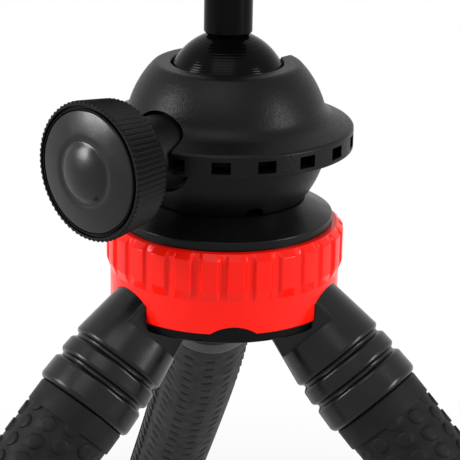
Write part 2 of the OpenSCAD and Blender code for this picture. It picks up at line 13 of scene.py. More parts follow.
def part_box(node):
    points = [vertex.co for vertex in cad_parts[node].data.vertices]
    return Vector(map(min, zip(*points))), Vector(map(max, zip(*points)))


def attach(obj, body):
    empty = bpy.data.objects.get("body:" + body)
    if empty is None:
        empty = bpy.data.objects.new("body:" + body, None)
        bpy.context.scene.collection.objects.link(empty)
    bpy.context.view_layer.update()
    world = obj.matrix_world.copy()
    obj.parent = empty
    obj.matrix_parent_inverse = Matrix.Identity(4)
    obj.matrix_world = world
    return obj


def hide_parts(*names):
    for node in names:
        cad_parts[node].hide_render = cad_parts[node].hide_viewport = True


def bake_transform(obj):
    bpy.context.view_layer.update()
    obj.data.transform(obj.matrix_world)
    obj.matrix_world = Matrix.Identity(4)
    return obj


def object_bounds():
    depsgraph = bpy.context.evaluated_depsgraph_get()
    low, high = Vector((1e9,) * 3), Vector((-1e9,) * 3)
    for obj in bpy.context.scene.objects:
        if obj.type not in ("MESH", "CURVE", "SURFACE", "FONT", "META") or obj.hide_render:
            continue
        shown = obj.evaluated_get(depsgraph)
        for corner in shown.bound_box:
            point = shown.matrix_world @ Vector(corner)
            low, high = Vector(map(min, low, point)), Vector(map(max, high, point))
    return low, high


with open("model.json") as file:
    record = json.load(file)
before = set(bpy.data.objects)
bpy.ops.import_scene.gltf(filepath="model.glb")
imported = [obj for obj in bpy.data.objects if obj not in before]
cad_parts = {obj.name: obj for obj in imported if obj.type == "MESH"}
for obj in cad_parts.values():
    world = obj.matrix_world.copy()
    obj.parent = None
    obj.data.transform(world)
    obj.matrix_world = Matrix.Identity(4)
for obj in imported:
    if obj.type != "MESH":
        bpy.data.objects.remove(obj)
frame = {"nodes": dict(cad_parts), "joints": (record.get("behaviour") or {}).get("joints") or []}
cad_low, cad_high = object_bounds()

bl_info = {
    "name": "Flexible leg tripod",
    "version": (1, 0, 0),
    "blender": (4, 5, 0),
    "location": "View3D > Sidebar > Tripod",
    "description": "Builds the visible pieces of a flexible leg tripod round its fixed solids",
    "category": "Add Mesh",
}

MM = 0.001
LEG_NAMES = ("left", "right", "back")
JOINTS = {joint["name"]: joint for joint in frame["joints"]}
# Heights are measured up from the lower edge of the red ring
RING_PLACE = Matrix.Translation((0, 0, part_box("grip_ring")[0].z))
FLOOR_Z = cad_low.z
# Azimuths of the hub's scallops, ears and screws
THIRDS = (0, 2 * math.pi / 3, 4 * math.pi / 3)


def length(size_mm, name, description):
    """A length that a user can change, given in millimetres."""
    return FloatProperty(name=name, description=description, default=size_mm * MM, unit="LENGTH", precision=5)


def angle(degrees, name, description):
    """An angle that a user can change, given in degrees."""
    return FloatProperty(name=name, description=description, default=math.radians(degrees), subtype="ANGLE")


def number(value, name, description):
    """A count that a user can change."""
    return IntProperty(name=name, description=description, default=value, min=1)


def colour(red, green, blue, name, description):
    """A linear colour that a user can change."""
    return FloatVectorProperty(
        name=name, description=description, default=(red, green, blue), subtype="COLOR", min=0, max=1
    )


class SeatSizes(bpy.types.PropertyGroup):
    """Camera screw, pad and lock wheel, measured from the camera seat."""

    thread_r: length(3.175, "Thread radius", "Outer radius of the camera thread")
    thread_pitch: length(1.27, "Thread pitch", "Rise of the camera thread in one turn")
    thread_depth: length(0.7, "Thread depth", "Depth of the camera thread")
    thread_proud: length(5.5, "Thread length", "Length of thread above the seat")
    shank_r: length(4, "Shank radius", "Radius of the screw's plain shank")
    shank_grip: length(6, "Shank grip", "Length of shank held in the stem")
    wheel_r: length(15, "Wheel radius", "Radius of the lock wheel over its ridges")
    wheel_h: length(6.8, "Wheel height", "Thickness of the lock wheel")
    wheel_ridges: number(60, "Wheel ridges", "Number of ridges round the lock wheel")
    ridge_depth: length(0.5, "Ridge depth", "Depth of the ridges on the wheel and the knob")
    pad_h: length(1.2, "Pad height", "Thickness of the rubber pad")
    pad_w: length(7.5, "Pad width", "Width of the rubber pad's ring")


class HeadSizes(bpy.types.PropertyGroup):
    """Stem, ball and housing, with heights from the lower edge of the red ring."""

    stem_r: length(5, "Stem radius", "Radius of the stem")
    stem_l: length(14, "Stem length", "Length of the plain stem above the ball")
    flare_h: length(4, "Flare height", "Height of the flare at the top of the stem")
    shoulder_r: length(9, "Shoulder radius", "Radius of the stem's shoulder")
    shoulder_h: length(1.5, "Shoulder height", "Thickness of the stem's shoulder")
    ball_r: length(12.6, "Ball radius", "Radius of the ball")
    ball_z: length(44.9, "Ball height", "Height of the ball's centre")
    housing_r: length(21.2, "Housing radius", "Radius of the round housing")
    housing_z: length(36.1, "Housing height", "Height of the housing's centre")
    split_z: length(33.7, "Split height", "Height where the two shells part")
    rim_z: length(51, "Rim height", "Height of the dome's rim")
    mouth_r: length(11.72, "Mouth radius", "Radius of the opening round the ball")
    skirt_r: length(26.4, "Skirt radius", "Radius of the dome's skirt")
    skirt_h: length(4.3, "Skirt height", "Height of the skirt's upright face")
    skirt_rise: length(2.4, "Skirt rise", "Rise of the skirt's sloped top")
    skirt_fillet: length(4.5, "Skirt fillet", "Radius of the hollow between the dome and its skirt")
    window_count: number(18, "Windows", "Windows round the skirt, counting the one that the knob takes")
    window_w: length(3.8, "Window width", "Width of a window in the skirt")
    window_h: length(2.5, "Window height", "Height of a window in the skirt")
    window_depth: length(5, "Window depth", "Depth of a window in the skirt")
    collar_r: length(17.5, "Inner collar radius", "Radius of the bowl's collar inside the dome")
    collar_z: length(41.5, "Inner collar height", "Top of the bowl's collar inside the dome")
    cavity_r: length(13, "Cavity radius", "Radius of the cavity round the ball seat")
    cavity_z: length(29, "Cavity floor", "Height of the cavity's floor")
    neck_hole_r: length(8.4, "Neck hole radius", "Radius of the hole that the knob's neck enters")
    insert_r: length(4.5, "Insert radius", "Radius of the bore for the clamp screw's insert")
    slot_r: length(5.4, "Slot radius", "Half width of the slot that the stem drops into")
    drain_r: length(2.2, "Drain radius", "Radius of the half-round hole at the bowl's foot")
    drain_azimuth: angle(15.5, "Drain azimuth", "Azimuth of the half-round hole")


class KnobSizes(bpy.types.PropertyGroup):
    """Clamp knob, measured outwards along its axis from the middle of the head."""

    rim_r: length(14.1, "Knob radius", "Radius of the knob over its ridges")
    rim_back: length(30.7, "Knob back", "Distance to the back of the ridged rim")
    rim_front: length(40, "Knob front", "Distance to the front of the ridged rim")
    rim_draft: length(1, "Knob draft", "How much smaller the rim is at its back")
    ridges: number(74, "Knob ridges", "Number of ridges round the knob")
    neck_r: length(7.6, "Neck radius", "Radius of the knob's neck")
    neck_start: length(18.9, "Neck start", "Distance to the inner end of the neck")
    bore_r: length(3, "Bore radius", "Radius of the hole for the clamp screw")
    cap_r: length(12.3, "Cap radius", "Radius of the round cap")
    cap_seat: length(1.6, "Cap seat", "Depth of the cap's seat in the knob")
    cap_crown: length(1.6, "Cap crown", "Height of the cap's crown above the rim")
    cap_dome_r: length(6.2, "Cap dome radius", "Radius of the raised dome on the cap")
    cap_dome_h: length(0.9, "Cap dome height", "Height of the raised dome on the cap")


class RingSizes(bpy.types.PropertyGroup):
    """Base plate, red ring and hub cover."""

    plate_r: length(22.55, "Plate radius", "Radius of the base plate")
    plate_edge: length(1.9, "Plate edge", "Height of the base plate's upright edge")
    plate_h: length(5.3, "Plate height", "Height of the base plate")
    plate_top_r: length(16.8, "Plate top radius", "Radius of the base plate's top")
    bolt_r: length(3.175, "Bolt radius", "Radius of the centre bolt")
    band_r: length(24.2, "Band radius", "Radius of the ring's plain lower band")
    band_h: length(7.1, "Band height", "Height of the ring's plain lower band")
    bore_r: length(21.54, "Bore radius", "Radius inside the ring")
    ring_h: length(17.2, "Ring height", "Height of the ring")
    tooth_out: length(0.8, "Tooth height", "How far the teeth stand out from the lower band")
    tooth_rise: length(2.2, "Tooth slope", "Height of the slope under the teeth")
    tooth_count: number(28, "Teeth", "Number of teeth round the ring")
    tooth_azimuth: angle(-5.4, "Tooth azimuth", "Azimuth of the groove nearest the front")
    groove_w: length(1.3, "Groove width", "Width of a groove at its floor")
    groove_depth: length(0.65, "Groove depth", "Depth of a groove between teeth")
    flank_w: length(0.52, "Flank width", "Width of a groove's sloped side")
    chamfer_h: length(1.3, "Chamfer height", "Chamfer on the upper edge, measured up")
    chamfer_w: length(1.4, "Chamfer width", "Chamfer on the upper edge, measured in")
    scallop_w: length(9.8, "Scallop width", "Width of a scallop in the ring's lower edge")
    scallop_h: length(1.7, "Scallop height", "Height of a scallop in the ring's lower edge")
    cover_r: length(23.7, "Cover radius", "Radius of the hub cover")
    cover_h: length(2.1, "Cover height", "Thickness of the hub cover")
    ear_inset: length(0.35, "Ear inset", "Distance from the lower band in to the face of an ear")
    screw_r: length(2.8, "Screw radius", "Radius of a cover screw's head")
    screw_ring_r: length(15, "Screw circle", "Distance from the middle to a cover screw")
    fit: length(0.1, "Fit", "Clearance between pieces that stay put")


class LegSizes(bpy.types.PropertyGroup):
    """Collar, sleeve and foot, measured along a leg from the first groove of its collar."""

    first_l: length(38, "First length", "Distance from the first groove to the first bend")
    tip_l: length(42, "Last length", "Distance from the last bend to the middle of the foot's round end")
    bend_round: length(20, "Bend rounding", "Length of leg on each side of a bend that curves")
    collar_back: length(8.7, "Collar back", "Length of the collar behind its first groove")
    collar_mid: length(5, "Collar middle", "Length from the first groove to the second")
    collar_end: length(11.5, "Collar end", "Distance from the first groove to the collar's end")
    collar_back_r: length(9.3, "Collar back radius", "Radius of the collar at its square back end")
    collar_mid_r: length(10.5, "Collar middle radius", "Radius of the collar beside its first groove")
    collar_end_r: length(11, "Collar end radius", "Radius of the collar at its end")
    groove_w: length(1.1, "Groove width", "Width of a groove round the collar")
    groove_depth: length(0.9, "Groove depth", "Depth of a groove round the collar")
    root_w: length(11.8, "Root width", "Width of the root across its flat sides")
    flat_end: length(7.6, "Flat end", "Where the root's flat sides end, behind the first groove")
    root_l: length(8.3, "Root length", "Length of the root inside the hub")
    plug_r: length(8, "Plug radius", "Radius of the sleeve's plug in the collar")
    plug_l: length(7.5, "Plug length", "Length of the sleeve's plug in the collar")
    band_r: length(10.05, "Band radius", "Radius of the sleeve's plain band and of its dots")
    band_l: length(5, "Band length", "Length of the sleeve's plain band")
    sleeve_r: length(9.65, "Sleeve radius", "Radius of the sleeve between its dots")
    dot_r: length(1.62, "Dot radius", "Radius of a raised dot")
    dot_pitch: length(4.4, "Dot pitch", "Distance between dots along the leg")
    columns: number(12, "Columns", "Columns of dots and bars round the sleeve")
    bar_columns: number(5, "Bar columns", "Columns of sunk bars on the sleeve's inner side")
    bar_w: length(2.7, "Bar width", "Width of a sunk bar round the sleeve")
    bar_h: length(1.7, "Bar height", "Height of a sunk bar along the sleeve")
    bar_depth: length(0.18, "Bar depth", "Depth of a sunk bar")
    foot_r: length(10.6, "Foot radius", "Radius of the rubber foot")
    foot_cup: length(10, "Foot cup", "Length of the foot behind the middle of its round end")


class Colours(bpy.types.PropertyGroup):
    """Base colours of the finishes."""

    housing: colour(0.0025, 0.0025, 0.003, "Housing", "Grained black plastic of the housing and the knob")
    metal: colour(0.0015, 0.0015, 0.0018, "Black metal", "Turned and blackened metal")
    plate: colour(0.004, 0.004, 0.0042, "Base plate", "Black paint of the base plate")
    ring: colour(0.95, 0.009, 0.003, "Ring", "Red plastic of the ring")
    collar: colour(0.0025, 0.0025, 0.003, "Collar", "Smooth black plastic of the collars")
    rubber: colour(0.010, 0.010, 0.0105, "Rubber", "Black rubber of the sleeves and feet")
    steel: colour(0.55, 0.55, 0.57, "Steel", "Plated steel")
    brass: colour(0.65, 0.48, 0.20, "Brass", "Turned brass")
    nylon: colour(0.75, 0.73, 0.67, "Nylon", "Natural nylon")
    aluminium: colour(0.70, 0.70, 0.72, "Aluminium", "Soft wire inside the legs")
    floor: colour(0.82, 0.82, 0.82, "Floor", "Pale floor")


class StageSizes(bpy.types.PropertyGroup):
    """Camera, lamps and floor."""

    camera_azimuth: angle(-5, "Camera azimuth", "Azimuth of the camera, from the front towards the right")
    camera_out: length(393, "Camera distance", "Distance of the camera from the head's axis")
    camera_z: length(147.15, "Camera height", "Height of the camera above the ring's lower edge")
    camera_pitch: angle(18.67, "Camera pitch", "How far the camera looks down")
    camera_yaw: angle(0.16, "Camera yaw", "How far the camera looks to the right of the head's axis")
    camera_roll: angle(1, "Camera roll", "How far the camera leans to the left")
    camera_lens: FloatProperty(name="Lens", description="Focal length", default=153.4, unit="CAMERA")
    world_light: FloatProperty(
        name="World light", description="Strength of the world's even light", default=0.22
    )
    floor_r: length(3000, "Floor radius", "Radius of the floor")
    floor_clear: length(190, "Floor clear radius", "Radius inside which the floor takes shadows in full")


class TripodSettings(bpy.types.PropertyGroup):
    """Every size and colour of the tripod."""

    seat: PointerProperty(type=SeatSizes)
    head: PointerProperty(type=HeadSizes)
    knob: PointerProperty(type=KnobSizes)
    ring: PointerProperty(type=RingSizes)
    leg: PointerProperty(type=LegSizes)
    colours: PointerProperty(type=Colours)
    stage: PointerProperty(type=StageSizes)


# Outlines


def arc(centre, radius, start, end, steps):
    """Points of an arc in the plane, from one angle to another in degrees."""
    turns = np.radians(np.linspace(start, end, steps + 1))
    return [(centre[0] + radius * math.cos(t), centre[1] + radius * math.sin(t)) for t in turns]


def rounded(corners, steps=4):
    """Closed outline through corners (x, y, radius), where each radius above zero becomes an arc."""
    points = []
    total = len(corners)
    for i, (x, y, *rest) in enumerate(corners):
        radius = rest[0] if rest else 0
        here = Vector((x, y))
        to_last = Vector(corners[i - 1][:2]) - here
        to_next = Vector(corners[(i + 1) % total][:2]) - here
        room = 0.49 * min(to_last.length, to_next.length)
        if radius <= 0 or room < 1e-9:
            points.append((x, y))
            continue
        half = to_last.angle(to_next) / 2
        if half > math.radians(89.5):
            points.append((x, y))
            continue
        cut = min(radius / math.tan(half), room)
        first = here + to_last.normalized() * cut
        last = here + to_next.normalized() * cut
        centre = here + (to_last.normalized() + to_next.normalized()).normalized() * (cut / math.cos(half))
        sweep = (first - centre).angle_signed(last - centre)
        for k in range(steps + 1):
            turn = -sweep * k / steps
            spoke = first - centre
            points.append((
                centre.x + spoke.x * math.cos(turn) - spoke.y * math.sin(turn),
                centre.y + spoke.x * math.sin(turn) + spoke.y * math.cos(turn),
            ))
    return points


# Meshes


def skin(loops, join=False):
    """Quads between loops of points. The end loops are joined to each other, or closed with a fan."""
    loops = np.asarray(loops, float)
    rows, around = loops.shape[:2]
    points = [tuple(p) for p in loops.reshape(-1, 3)]
    faces = []
    for row in range(rows if join else rows - 1):
        low = row * around
        high = (row + 1) % rows * around
        for c in range(around):
            d = (c + 1) % around
            faces.append((low + c, low + d, high + d, high + c))
    if not join:
        for row in (0, rows - 1):
            middle = len(points)
            points.append(tuple(loops[row].mean(0)))
            start = row * around
            faces += [(start + c, start + (c + 1) % around, middle) for c in range(around)]
    return points, faces


def level_loop(radii, turns, height):
    """Loop of points about the local Z axis, all at one height."""
    return np.stack([radii * np.cos(turns), radii * np.sin(turns), np.full(len(turns), height)], axis=1)


def lathe(outline, join=False, around=128):
    """Turns an outline of (radius, height) points about the local Z axis."""
    turns = np.linspace(0, 2 * math.pi, around, endpoint=False)
    ring = np.stack([np.cos(turns), np.sin(turns)], axis=1)
    return skin([[(r * x, r * y, z) for x, y in ring] for r, z in outline], join)


def ridged_lathe(outline, ridges, depth, join=False, per_ridge=6):
    """Turns an outline of (radius, height, share of the ridges) points with ridges along it."""
    around = ridges * per_ridge
    turns = np.linspace(0, 2 * math.pi, around, endpoint=False)
    valley = 0.5 - 0.5 * np.cos(ridges * turns)
    return skin([level_loop(r - depth * share * valley, turns, z) for r, z, share in outline], join)


def bar(section, start, end):
    """A straight bar of a closed section along the local Z axis."""
    return skin([[(x, y, z) for x, y in section] for z in (start, end)])


def merged(*shapes):
    """Several shapes as one list of points and faces."""
    points, faces = [], []
    for shape_points, shape_faces in shapes:
        first = len(points)
        points += shape_points
        faces += [tuple(first + i for i in face) for face in shape_faces]
    return points, faces


def moved(shape, place):
    """A shape put in its place."""
    return [tuple(place @ Vector(p)) for p in shape[0]], shape[1]


def make_piece(name, shape, place=None):
    """An object with the shape's points and outward faces, in its place."""
    points, faces = moved(shape, place) if place else shape
    mesh = bpy.data.meshes.new(name)
    mesh.from_pydata(points, [], faces)
    shaper = bmesh.new()
    shaper.from_mesh(mesh)
    bmesh.ops.remove_doubles(shaper, verts=shaper.verts, dist=1e-7)
    bmesh.ops.recalc_face_normals(shaper, faces=shaper.faces)
    shaper.to_mesh(mesh)
    shaper.free()
    piece = bpy.data.objects.new(name, mesh)
    bpy.context.scene.collection.objects.link(piece)
    return piece


def carve(piece, shape, place=None, operation="DIFFERENCE"):
    """Cuts a shape out of a piece, or joins it on."""
    cutter = make_piece(piece.name + "_cutter", shape, place)
    modifier = piece.modifiers.new("carve", "BOOLEAN")
    modifier.operation = operation
    modifier.solver = "EXACT"
    modifier.object = cutter
    bpy.context.view_layer.update()
    carved = bpy.data.meshes.new_from_object(piece.evaluated_get(bpy.context.evaluated_depsgraph_get()))
    if not carved.polygons:
        raise RuntimeError(f"nothing is left of {piece.name}")
    piece.modifiers.clear()
    piece.data = carved
    carved.name = piece.name
    bpy.data.objects.remove(cutter)


def dress(piece, finish, nodes, body=None, sharp=42):
    """Gives a piece its finish, smooth shading and body, and hides the nodes that it stands for."""
    mesh = piece.data
    mesh.materials.clear()
    mesh.materials.append(finish)
    mesh.polygons.foreach_set("material_index", [0] * len(mesh.polygons))
    mesh.shade_smooth()
    mesh.set_sharp_from_angle(angle=math.radians(sharp))
    even = piece.modifiers.new("even_shading", "WEIGHTED_NORMAL")
    even.keep_sharp = True
    if body:
        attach(piece, body)
    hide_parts(*nodes)
    return piece


# Places


def at_azimuth(turn):
    """Turns +X to an azimuth, measured from the front towards the right."""
    return Matrix.Rotation(turn - math.pi / 2, 4, "Z")


def azimuth_of(direction):
    """Azimuth of a direction, measured from the front towards the right."""
    return math.atan2(direction[0], -direction[1])


def along_x(height=0):
    """Turns +Z to +X, at a height."""
    return Matrix.Translation((0, 0, height)) @ Matrix.Rotation(math.pi / 2, 4, "Y")


def knob_place():
    """Puts +Z outwards along the knob's axis, from the middle of the head."""
    joint = JOINTS["knob_turn"]
    height = Matrix.Translation((0, 0, joint["pos_m"][2]))
    return height @ at_azimuth(azimuth_of(joint["axis"])) @ Matrix.Rotation(math.pi / 2, 4, "Y")


def rod_direction(node):
    """Direction of a straight round rod, downwards along its leg."""
    points = np.array([v.co for v in frame["nodes"][node].data.vertices])
    axis = np.linalg.svd(points - points.mean(0), full_matrices=False)[2][0]
    return Vector(axis if axis[2] < 0 else -axis).normalized()


class LegLine:
    """Middle line of a leg, from the first groove of its collar to its foot, with round bends."""

    STEP = 0.25 * MM

    def __init__(self, name, sizes):
        bends = [Vector(JOINTS[f"{name}_{part}"]["pos_m"]) for part in ("bend_1", "sway_2", "bend_3")]
        start = bends[0] - rod_direction(f"{name}_core_1") * sizes.first_l
        foot = bends[2] + rod_direction(f"{name}_core_4") * sizes.tip_l
        self.points = [start, *bends, foot]
        self.marks = [0.0]
        for a, b in zip(self.points, self.points[1:]):
            self.marks.append(self.marks[-1] + (b - a).length)
        self.round = sizes.bend_round
        reach = sizes.collar_back + sizes.root_l
        self.along = np.arange(-reach, self.marks[-1] + 2 * sizes.foot_r, self.STEP)
        self.middle = np.array([self.spot(u) for u in self.along])
        tangent = np.gradient(self.middle, axis=0)
        self.ahead = tangent / np.linalg.norm(tangent, axis=1)[:, None]
        side = np.cross(self.ahead, (0, 0, 1))
        self.side = side / np.linalg.norm(side, axis=1)[:, None]
        self.outer = np.cross(self.side, self.ahead)

    def straight(self, u, k):
        """Point at a distance along the leg, on its straight length k."""
        first, last = self.points[k], self.points[k + 1]
        return first + (last - first).normalized() * (u - self.marks[k])

    def spot(self, u):
        """Point at a distance along the leg."""
        for k in (1, 2, 3):
            share = (u - self.marks[k] + self.round) / (2 * self.round)
            if 0 < share < 1:
                before = self.straight(self.marks[k] - self.round, k - 1)
                after = self.straight(self.marks[k] + self.round, k)
                bend = self.points[k]
                return before * (1 - share) ** 2 + bend * (2 * share * (1 - share)) + after * share ** 2
        lengths_done = sum(u > mark for mark in self.marks[1:4])
        return self.straight(u, lengths_done)

    def place(self, u=0.0):
        """Puts +Z along the leg and +X outwards, at a distance along the leg."""
        i = int(np.argmin(np.abs(self.along - u)))
        axes = [self.outer[i], -self.side[i], self.ahead[i]]
        turn = Matrix([[axis[row] for axis in axes] for row in range(3)]).to_4x4()
        return Matrix.Translation(self.spot(u)) @ turn

    def surface(self, u, around, radius):
        """Points round the leg at distances along it, angles from its outer side and radii."""
        u, around, radius = (np.asarray(values, float)[:, None] for values in (u, around, radius))
        middle, outer, side = (
            np.stack([np.interp(u[:, 0], self.along, values[:, axis]) for axis in range(3)], axis=1)
            for values in (self.middle, self.outer, self.side)
        )
        return middle + radius * (np.cos(around) * outer + np.sin(around) * side)


# Finishes


class Finish:
    """A procedural material whose detail lies in the object's own space."""

    # Most of a noise lies between these values
    NOISE_RANGE = (0.3, 0.7)

    def __init__(self, name, base, roughness, specular, metallic=0.0):
        self.material = bpy.data.materials.new(name)
        self.material.use_nodes = True
        self.tree = self.material.node_tree
        self.shader = self.tree.nodes["Principled BSDF"]
        self.base = tuple(base)
        self.set("Base Color", (*base, 1))
        self.set("Roughness", roughness)
        self.set("Specular IOR Level", specular)
        self.set("Metallic", metallic)
        self.space = self.tree.nodes.new("ShaderNodeTexCoord").outputs["Object"]

    def set(self, socket, value):
        """Sets a socket of the shader that is the same all over."""
        self.shader.inputs[socket].default_value = value

    def add(self, kind, **inputs):
        """A new node with some of its inputs set."""
        made = self.tree.nodes.new(kind)
        for name, value in inputs.items():
            made.inputs[name.replace("_", " ")].default_value = value
        return made

    def link(self, source, target):
        """Joins an output to an input."""
        self.tree.links.new(source, target)

    def noise(self, scale, detail=2.0):
        """Soft noise with this many grains in a metre."""
        made = self.add("ShaderNodeTexNoise", Scale=scale, Detail=detail)
        self.link(self.space, made.inputs["Vector"])
        return made.outputs["Fac"]

    def cells(self, scale):
        """Round grains with this many in a metre."""
        made = self.add("ShaderNodeTexVoronoi", Scale=scale)
        made.feature = "SMOOTH_F1"
        self.link(self.space, made.inputs["Vector"])
        return made.outputs["Distance"]

    def turned_rings(self, spacing):
        """Fine, slightly wavering rings of a lathe tool about the Z axis."""
        made = self.add("ShaderNodeTexWave", Scale=math.pi / (10 * spacing), Distortion=1.5, Detail=2.0)
        made.wave_type = "BANDS"
        made.bands_direction = "Z"
        self.link(self.space, made.inputs["Vector"])
        return made.outputs["Fac"]

    def vary(self, socket, source, low, high):
        """Drives a number of the shader between two values."""
        start, end = self.NOISE_RANGE
        made = self.add("ShaderNodeMapRange", From_Min=start, From_Max=end, To_Min=low, To_Max=high)
        self.link(source, made.inputs["Value"])
        self.link(made.outputs["Result"], self.shader.inputs[socket])

    def tint(self, source, darker, lighter):
        """Drives the base colour between a darker and a lighter share of itself."""
        ramp = self.add("ShaderNodeValToRGB")
        for element, share, spot in zip(ramp.color_ramp.elements, (darker, lighter), self.NOISE_RANGE):
            element.position = spot
            element.color = (*(min(1, c * share) for c in self.base), 1)
        self.link(source, ramp.inputs["Fac"])
        self.link(ramp.outputs["Color"], self.shader.inputs["Base Color"])

    def relief(self, source, depth):
        """Raises the surface by the source, up to a depth in metres."""
        made = self.add("ShaderNodeBump", Strength=1.0, Distance=depth)
        self.link(source, made.inputs["Height"])
        normal = self.shader.inputs["Normal"]
        if normal.is_linked:
            self.link(normal.links[0].from_socket, made.inputs["Normal"])
        self.link(made.outputs["Normal"], normal)


def grained_plastic(name, base, roughness=0.4, grain=1700):
    """Moulded black plastic with a fine sparkling grain."""
    finish = Finish(name, base, roughness, specular=0.12)
    coarse = finish.noise(grain, detail=3)
    finish.tint(finish.noise(90), 0.8, 1.25)
    finish.vary("Roughness", coarse, roughness - 0.06, roughness + 0.06)
    finish.relief(coarse, 0.04 * MM)
    finish.relief(finish.cells(grain * 1.6), 0.02 * MM)
    return finish.material


def smooth_plastic(name, base, roughness=0.26, specular=0.08):
    """Smooth satin plastic with the faint unevenness of a moulding."""
    finish = Finish(name, base, roughness, specular)
    finish.tint(finish.noise(60), 0.85, 1.15)
    finish.vary("Roughness", finish.noise(260, detail=3), roughness - 0.05, roughness + 0.06)
    finish.relief(finish.noise(700, detail=3), 0.008 * MM)
    return finish.material


def turned_metal(name, base, roughness, spacing, depth, metallic=0.0):
    """Turned metal with the fine rings of the tool, blackened where it isn't metallic."""
    finish = Finish(name, base, roughness, specular=0.05, metallic=metallic)
    rings = finish.turned_rings(spacing)
    finish.tint(finish.noise(120), 0.85, 1.15)
    finish.vary("Roughness", rings, roughness - 0.05, roughness + 0.07)
    finish.relief(rings, depth)
    return finish.material


def matt_rubber(name, base, roughness=0.52):
    """Matt black rubber with a dry, slightly dusty skin."""
    finish = Finish(name, base, roughness, specular=0.08)
    finish.tint(finish.noise(140, detail=4), 0.75, 1.3)
    finish.vary("Roughness", finish.noise(420, detail=3), roughness - 0.08, roughness + 0.08)
    finish.relief(finish.noise(1500, detail=4), 0.018 * MM)
    return finish.material


def red_plastic(name, base, roughness=0.22):
    """Bright satin plastic."""
    finish = Finish(name, base, roughness, specular=0.17)
    finish.tint(finish.noise(45), 0.96, 1.04)
    finish.vary("Roughness", finish.noise(300, detail=3), roughness - 0.04, roughness + 0.04)
    finish.relief(finish.noise(900, detail=2), 0.006 * MM)
    return finish.material


# Operators


class TripodOperator(bpy.types.Operator):
    """Base of the operators that build the tripod's pieces."""

    bl_options = {"REGISTER"}

    @property
    def sizes(self):
        return bpy.context.scene.tripod

    @property
    def colours(self):
        return bpy.context.scene.tripod.colours


class TRIPOD_OT_camera_seat(TripodOperator):
    """Build the camera screw, the rubber pad and the lock wheel"""

    bl_idname = "tripod.camera_seat"
    bl_label = "Camera seat"

    def execute(self, context):
        seat = self.sizes.seat
        black = turned_metal(
            "black_wheel", self.colours.metal, roughness=0.34, spacing=0.3 * MM, depth=0.006 * MM
        )
        steel = turned_metal(
            "plated_screw", self.colours.steel, roughness=0.28, spacing=0.2 * MM, depth=0.003 * MM, metallic=1
        )
        screw = make_piece("camera_screw_threaded", self.screw(seat))
        dress(screw, steel, ["camera_screw"], "stem")
        pad = make_piece("seat_pad_ribbed", self.pad(seat))
        dress(pad, matt_rubber("pad_rubber", self.colours.rubber), ["seat_pad"], "lock_wheel")
        wheel = make_piece("lock_wheel_ridged", self.wheel(seat))
        dress(wheel, black, ["lock_wheel"], "lock_wheel")
        return {"FINISHED"}

    def screw(self, seat):
        """Plain shank, then a thread whose crest winds upwards and fades out at its ends."""
        around, loops_per_turn = 48, 10
        # How steep the flanks are, how much of the root is flat and how much crest is left at the top
        steep, flat, last_crest = 1.35, 0.1, 0.15
        pitch = seat.thread_pitch
        turns = np.linspace(0, 2 * math.pi, around, endpoint=False)
        foot, top = -seat.pad_h, seat.thread_proud
        shank_start = foot - seat.wheel_h - seat.shank_grip
        core_r = seat.thread_r - seat.thread_depth
        plain = [(seat.shank_r, shank_start), (seat.shank_r, foot), (core_r, foot)]
        loops = [level_loop(np.full(around, r), turns, z) for r, z in plain]
        steps = math.ceil((top - foot) / pitch * loops_per_turn)
        for z in np.linspace(foot, top, steps + 1)[1:]:
            share = min(1, (z - foot) / pitch, last_crest + (top - z) / pitch)
            phase = (z / pitch - turns / (2 * math.pi)) % 1
            crest = np.clip(steep * np.abs(2 * phase - 1) - flat, 0, 1)
            loops.append(level_loop(seat.thread_r - seat.thread_depth * (1 - crest * share), turns, z))
        return skin(loops)

    def pad(self, seat):
        """Ring with round ribs in its upper face."""
        outer = seat.wheel_r - 2 * seat.ridge_depth
        inner = outer - seat.pad_w
        ribs = 5
        dip, soft = 0.3 * MM, 0.2 * MM
        pitch = (outer - inner) / ribs
        half_dip = 0.3 * pitch
        corners = [(inner, -seat.pad_h), (outer, -seat.pad_h), (outer, 0, soft)]
        for k in range(1, ribs):
            r = outer - k * pitch
            corners += [(r + half_dip, 0, soft), (r, -dip, soft), (r - half_dip, 0, soft)]
        corners.append((inner, 0, soft))
        return lathe(rounded(corners), join=True)

    def wheel(self, seat):
        """Ridged rim with a round shoulder above and below."""
        top = -seat.pad_h
        low = top - seat.wheel_h
        gap, lip, soft = 0.1 * MM, 1.2 * MM, 0.5 * MM
        hole = seat.shank_r + gap
        rim = seat.wheel_r
        corners = [
            (hole, low), (rim - lip, low, soft), (rim, low + lip, soft),
            (rim, top - lip, soft), (rim - lip, top, soft), (hole, top),
        ]
        outline = [(r, z, min(1, max(0, (r - rim + lip) / lip))) for r, z in rounded(corners)]
        return ridged_lathe(outline, seat.wheel_ridges, seat.ridge_depth, join=True)


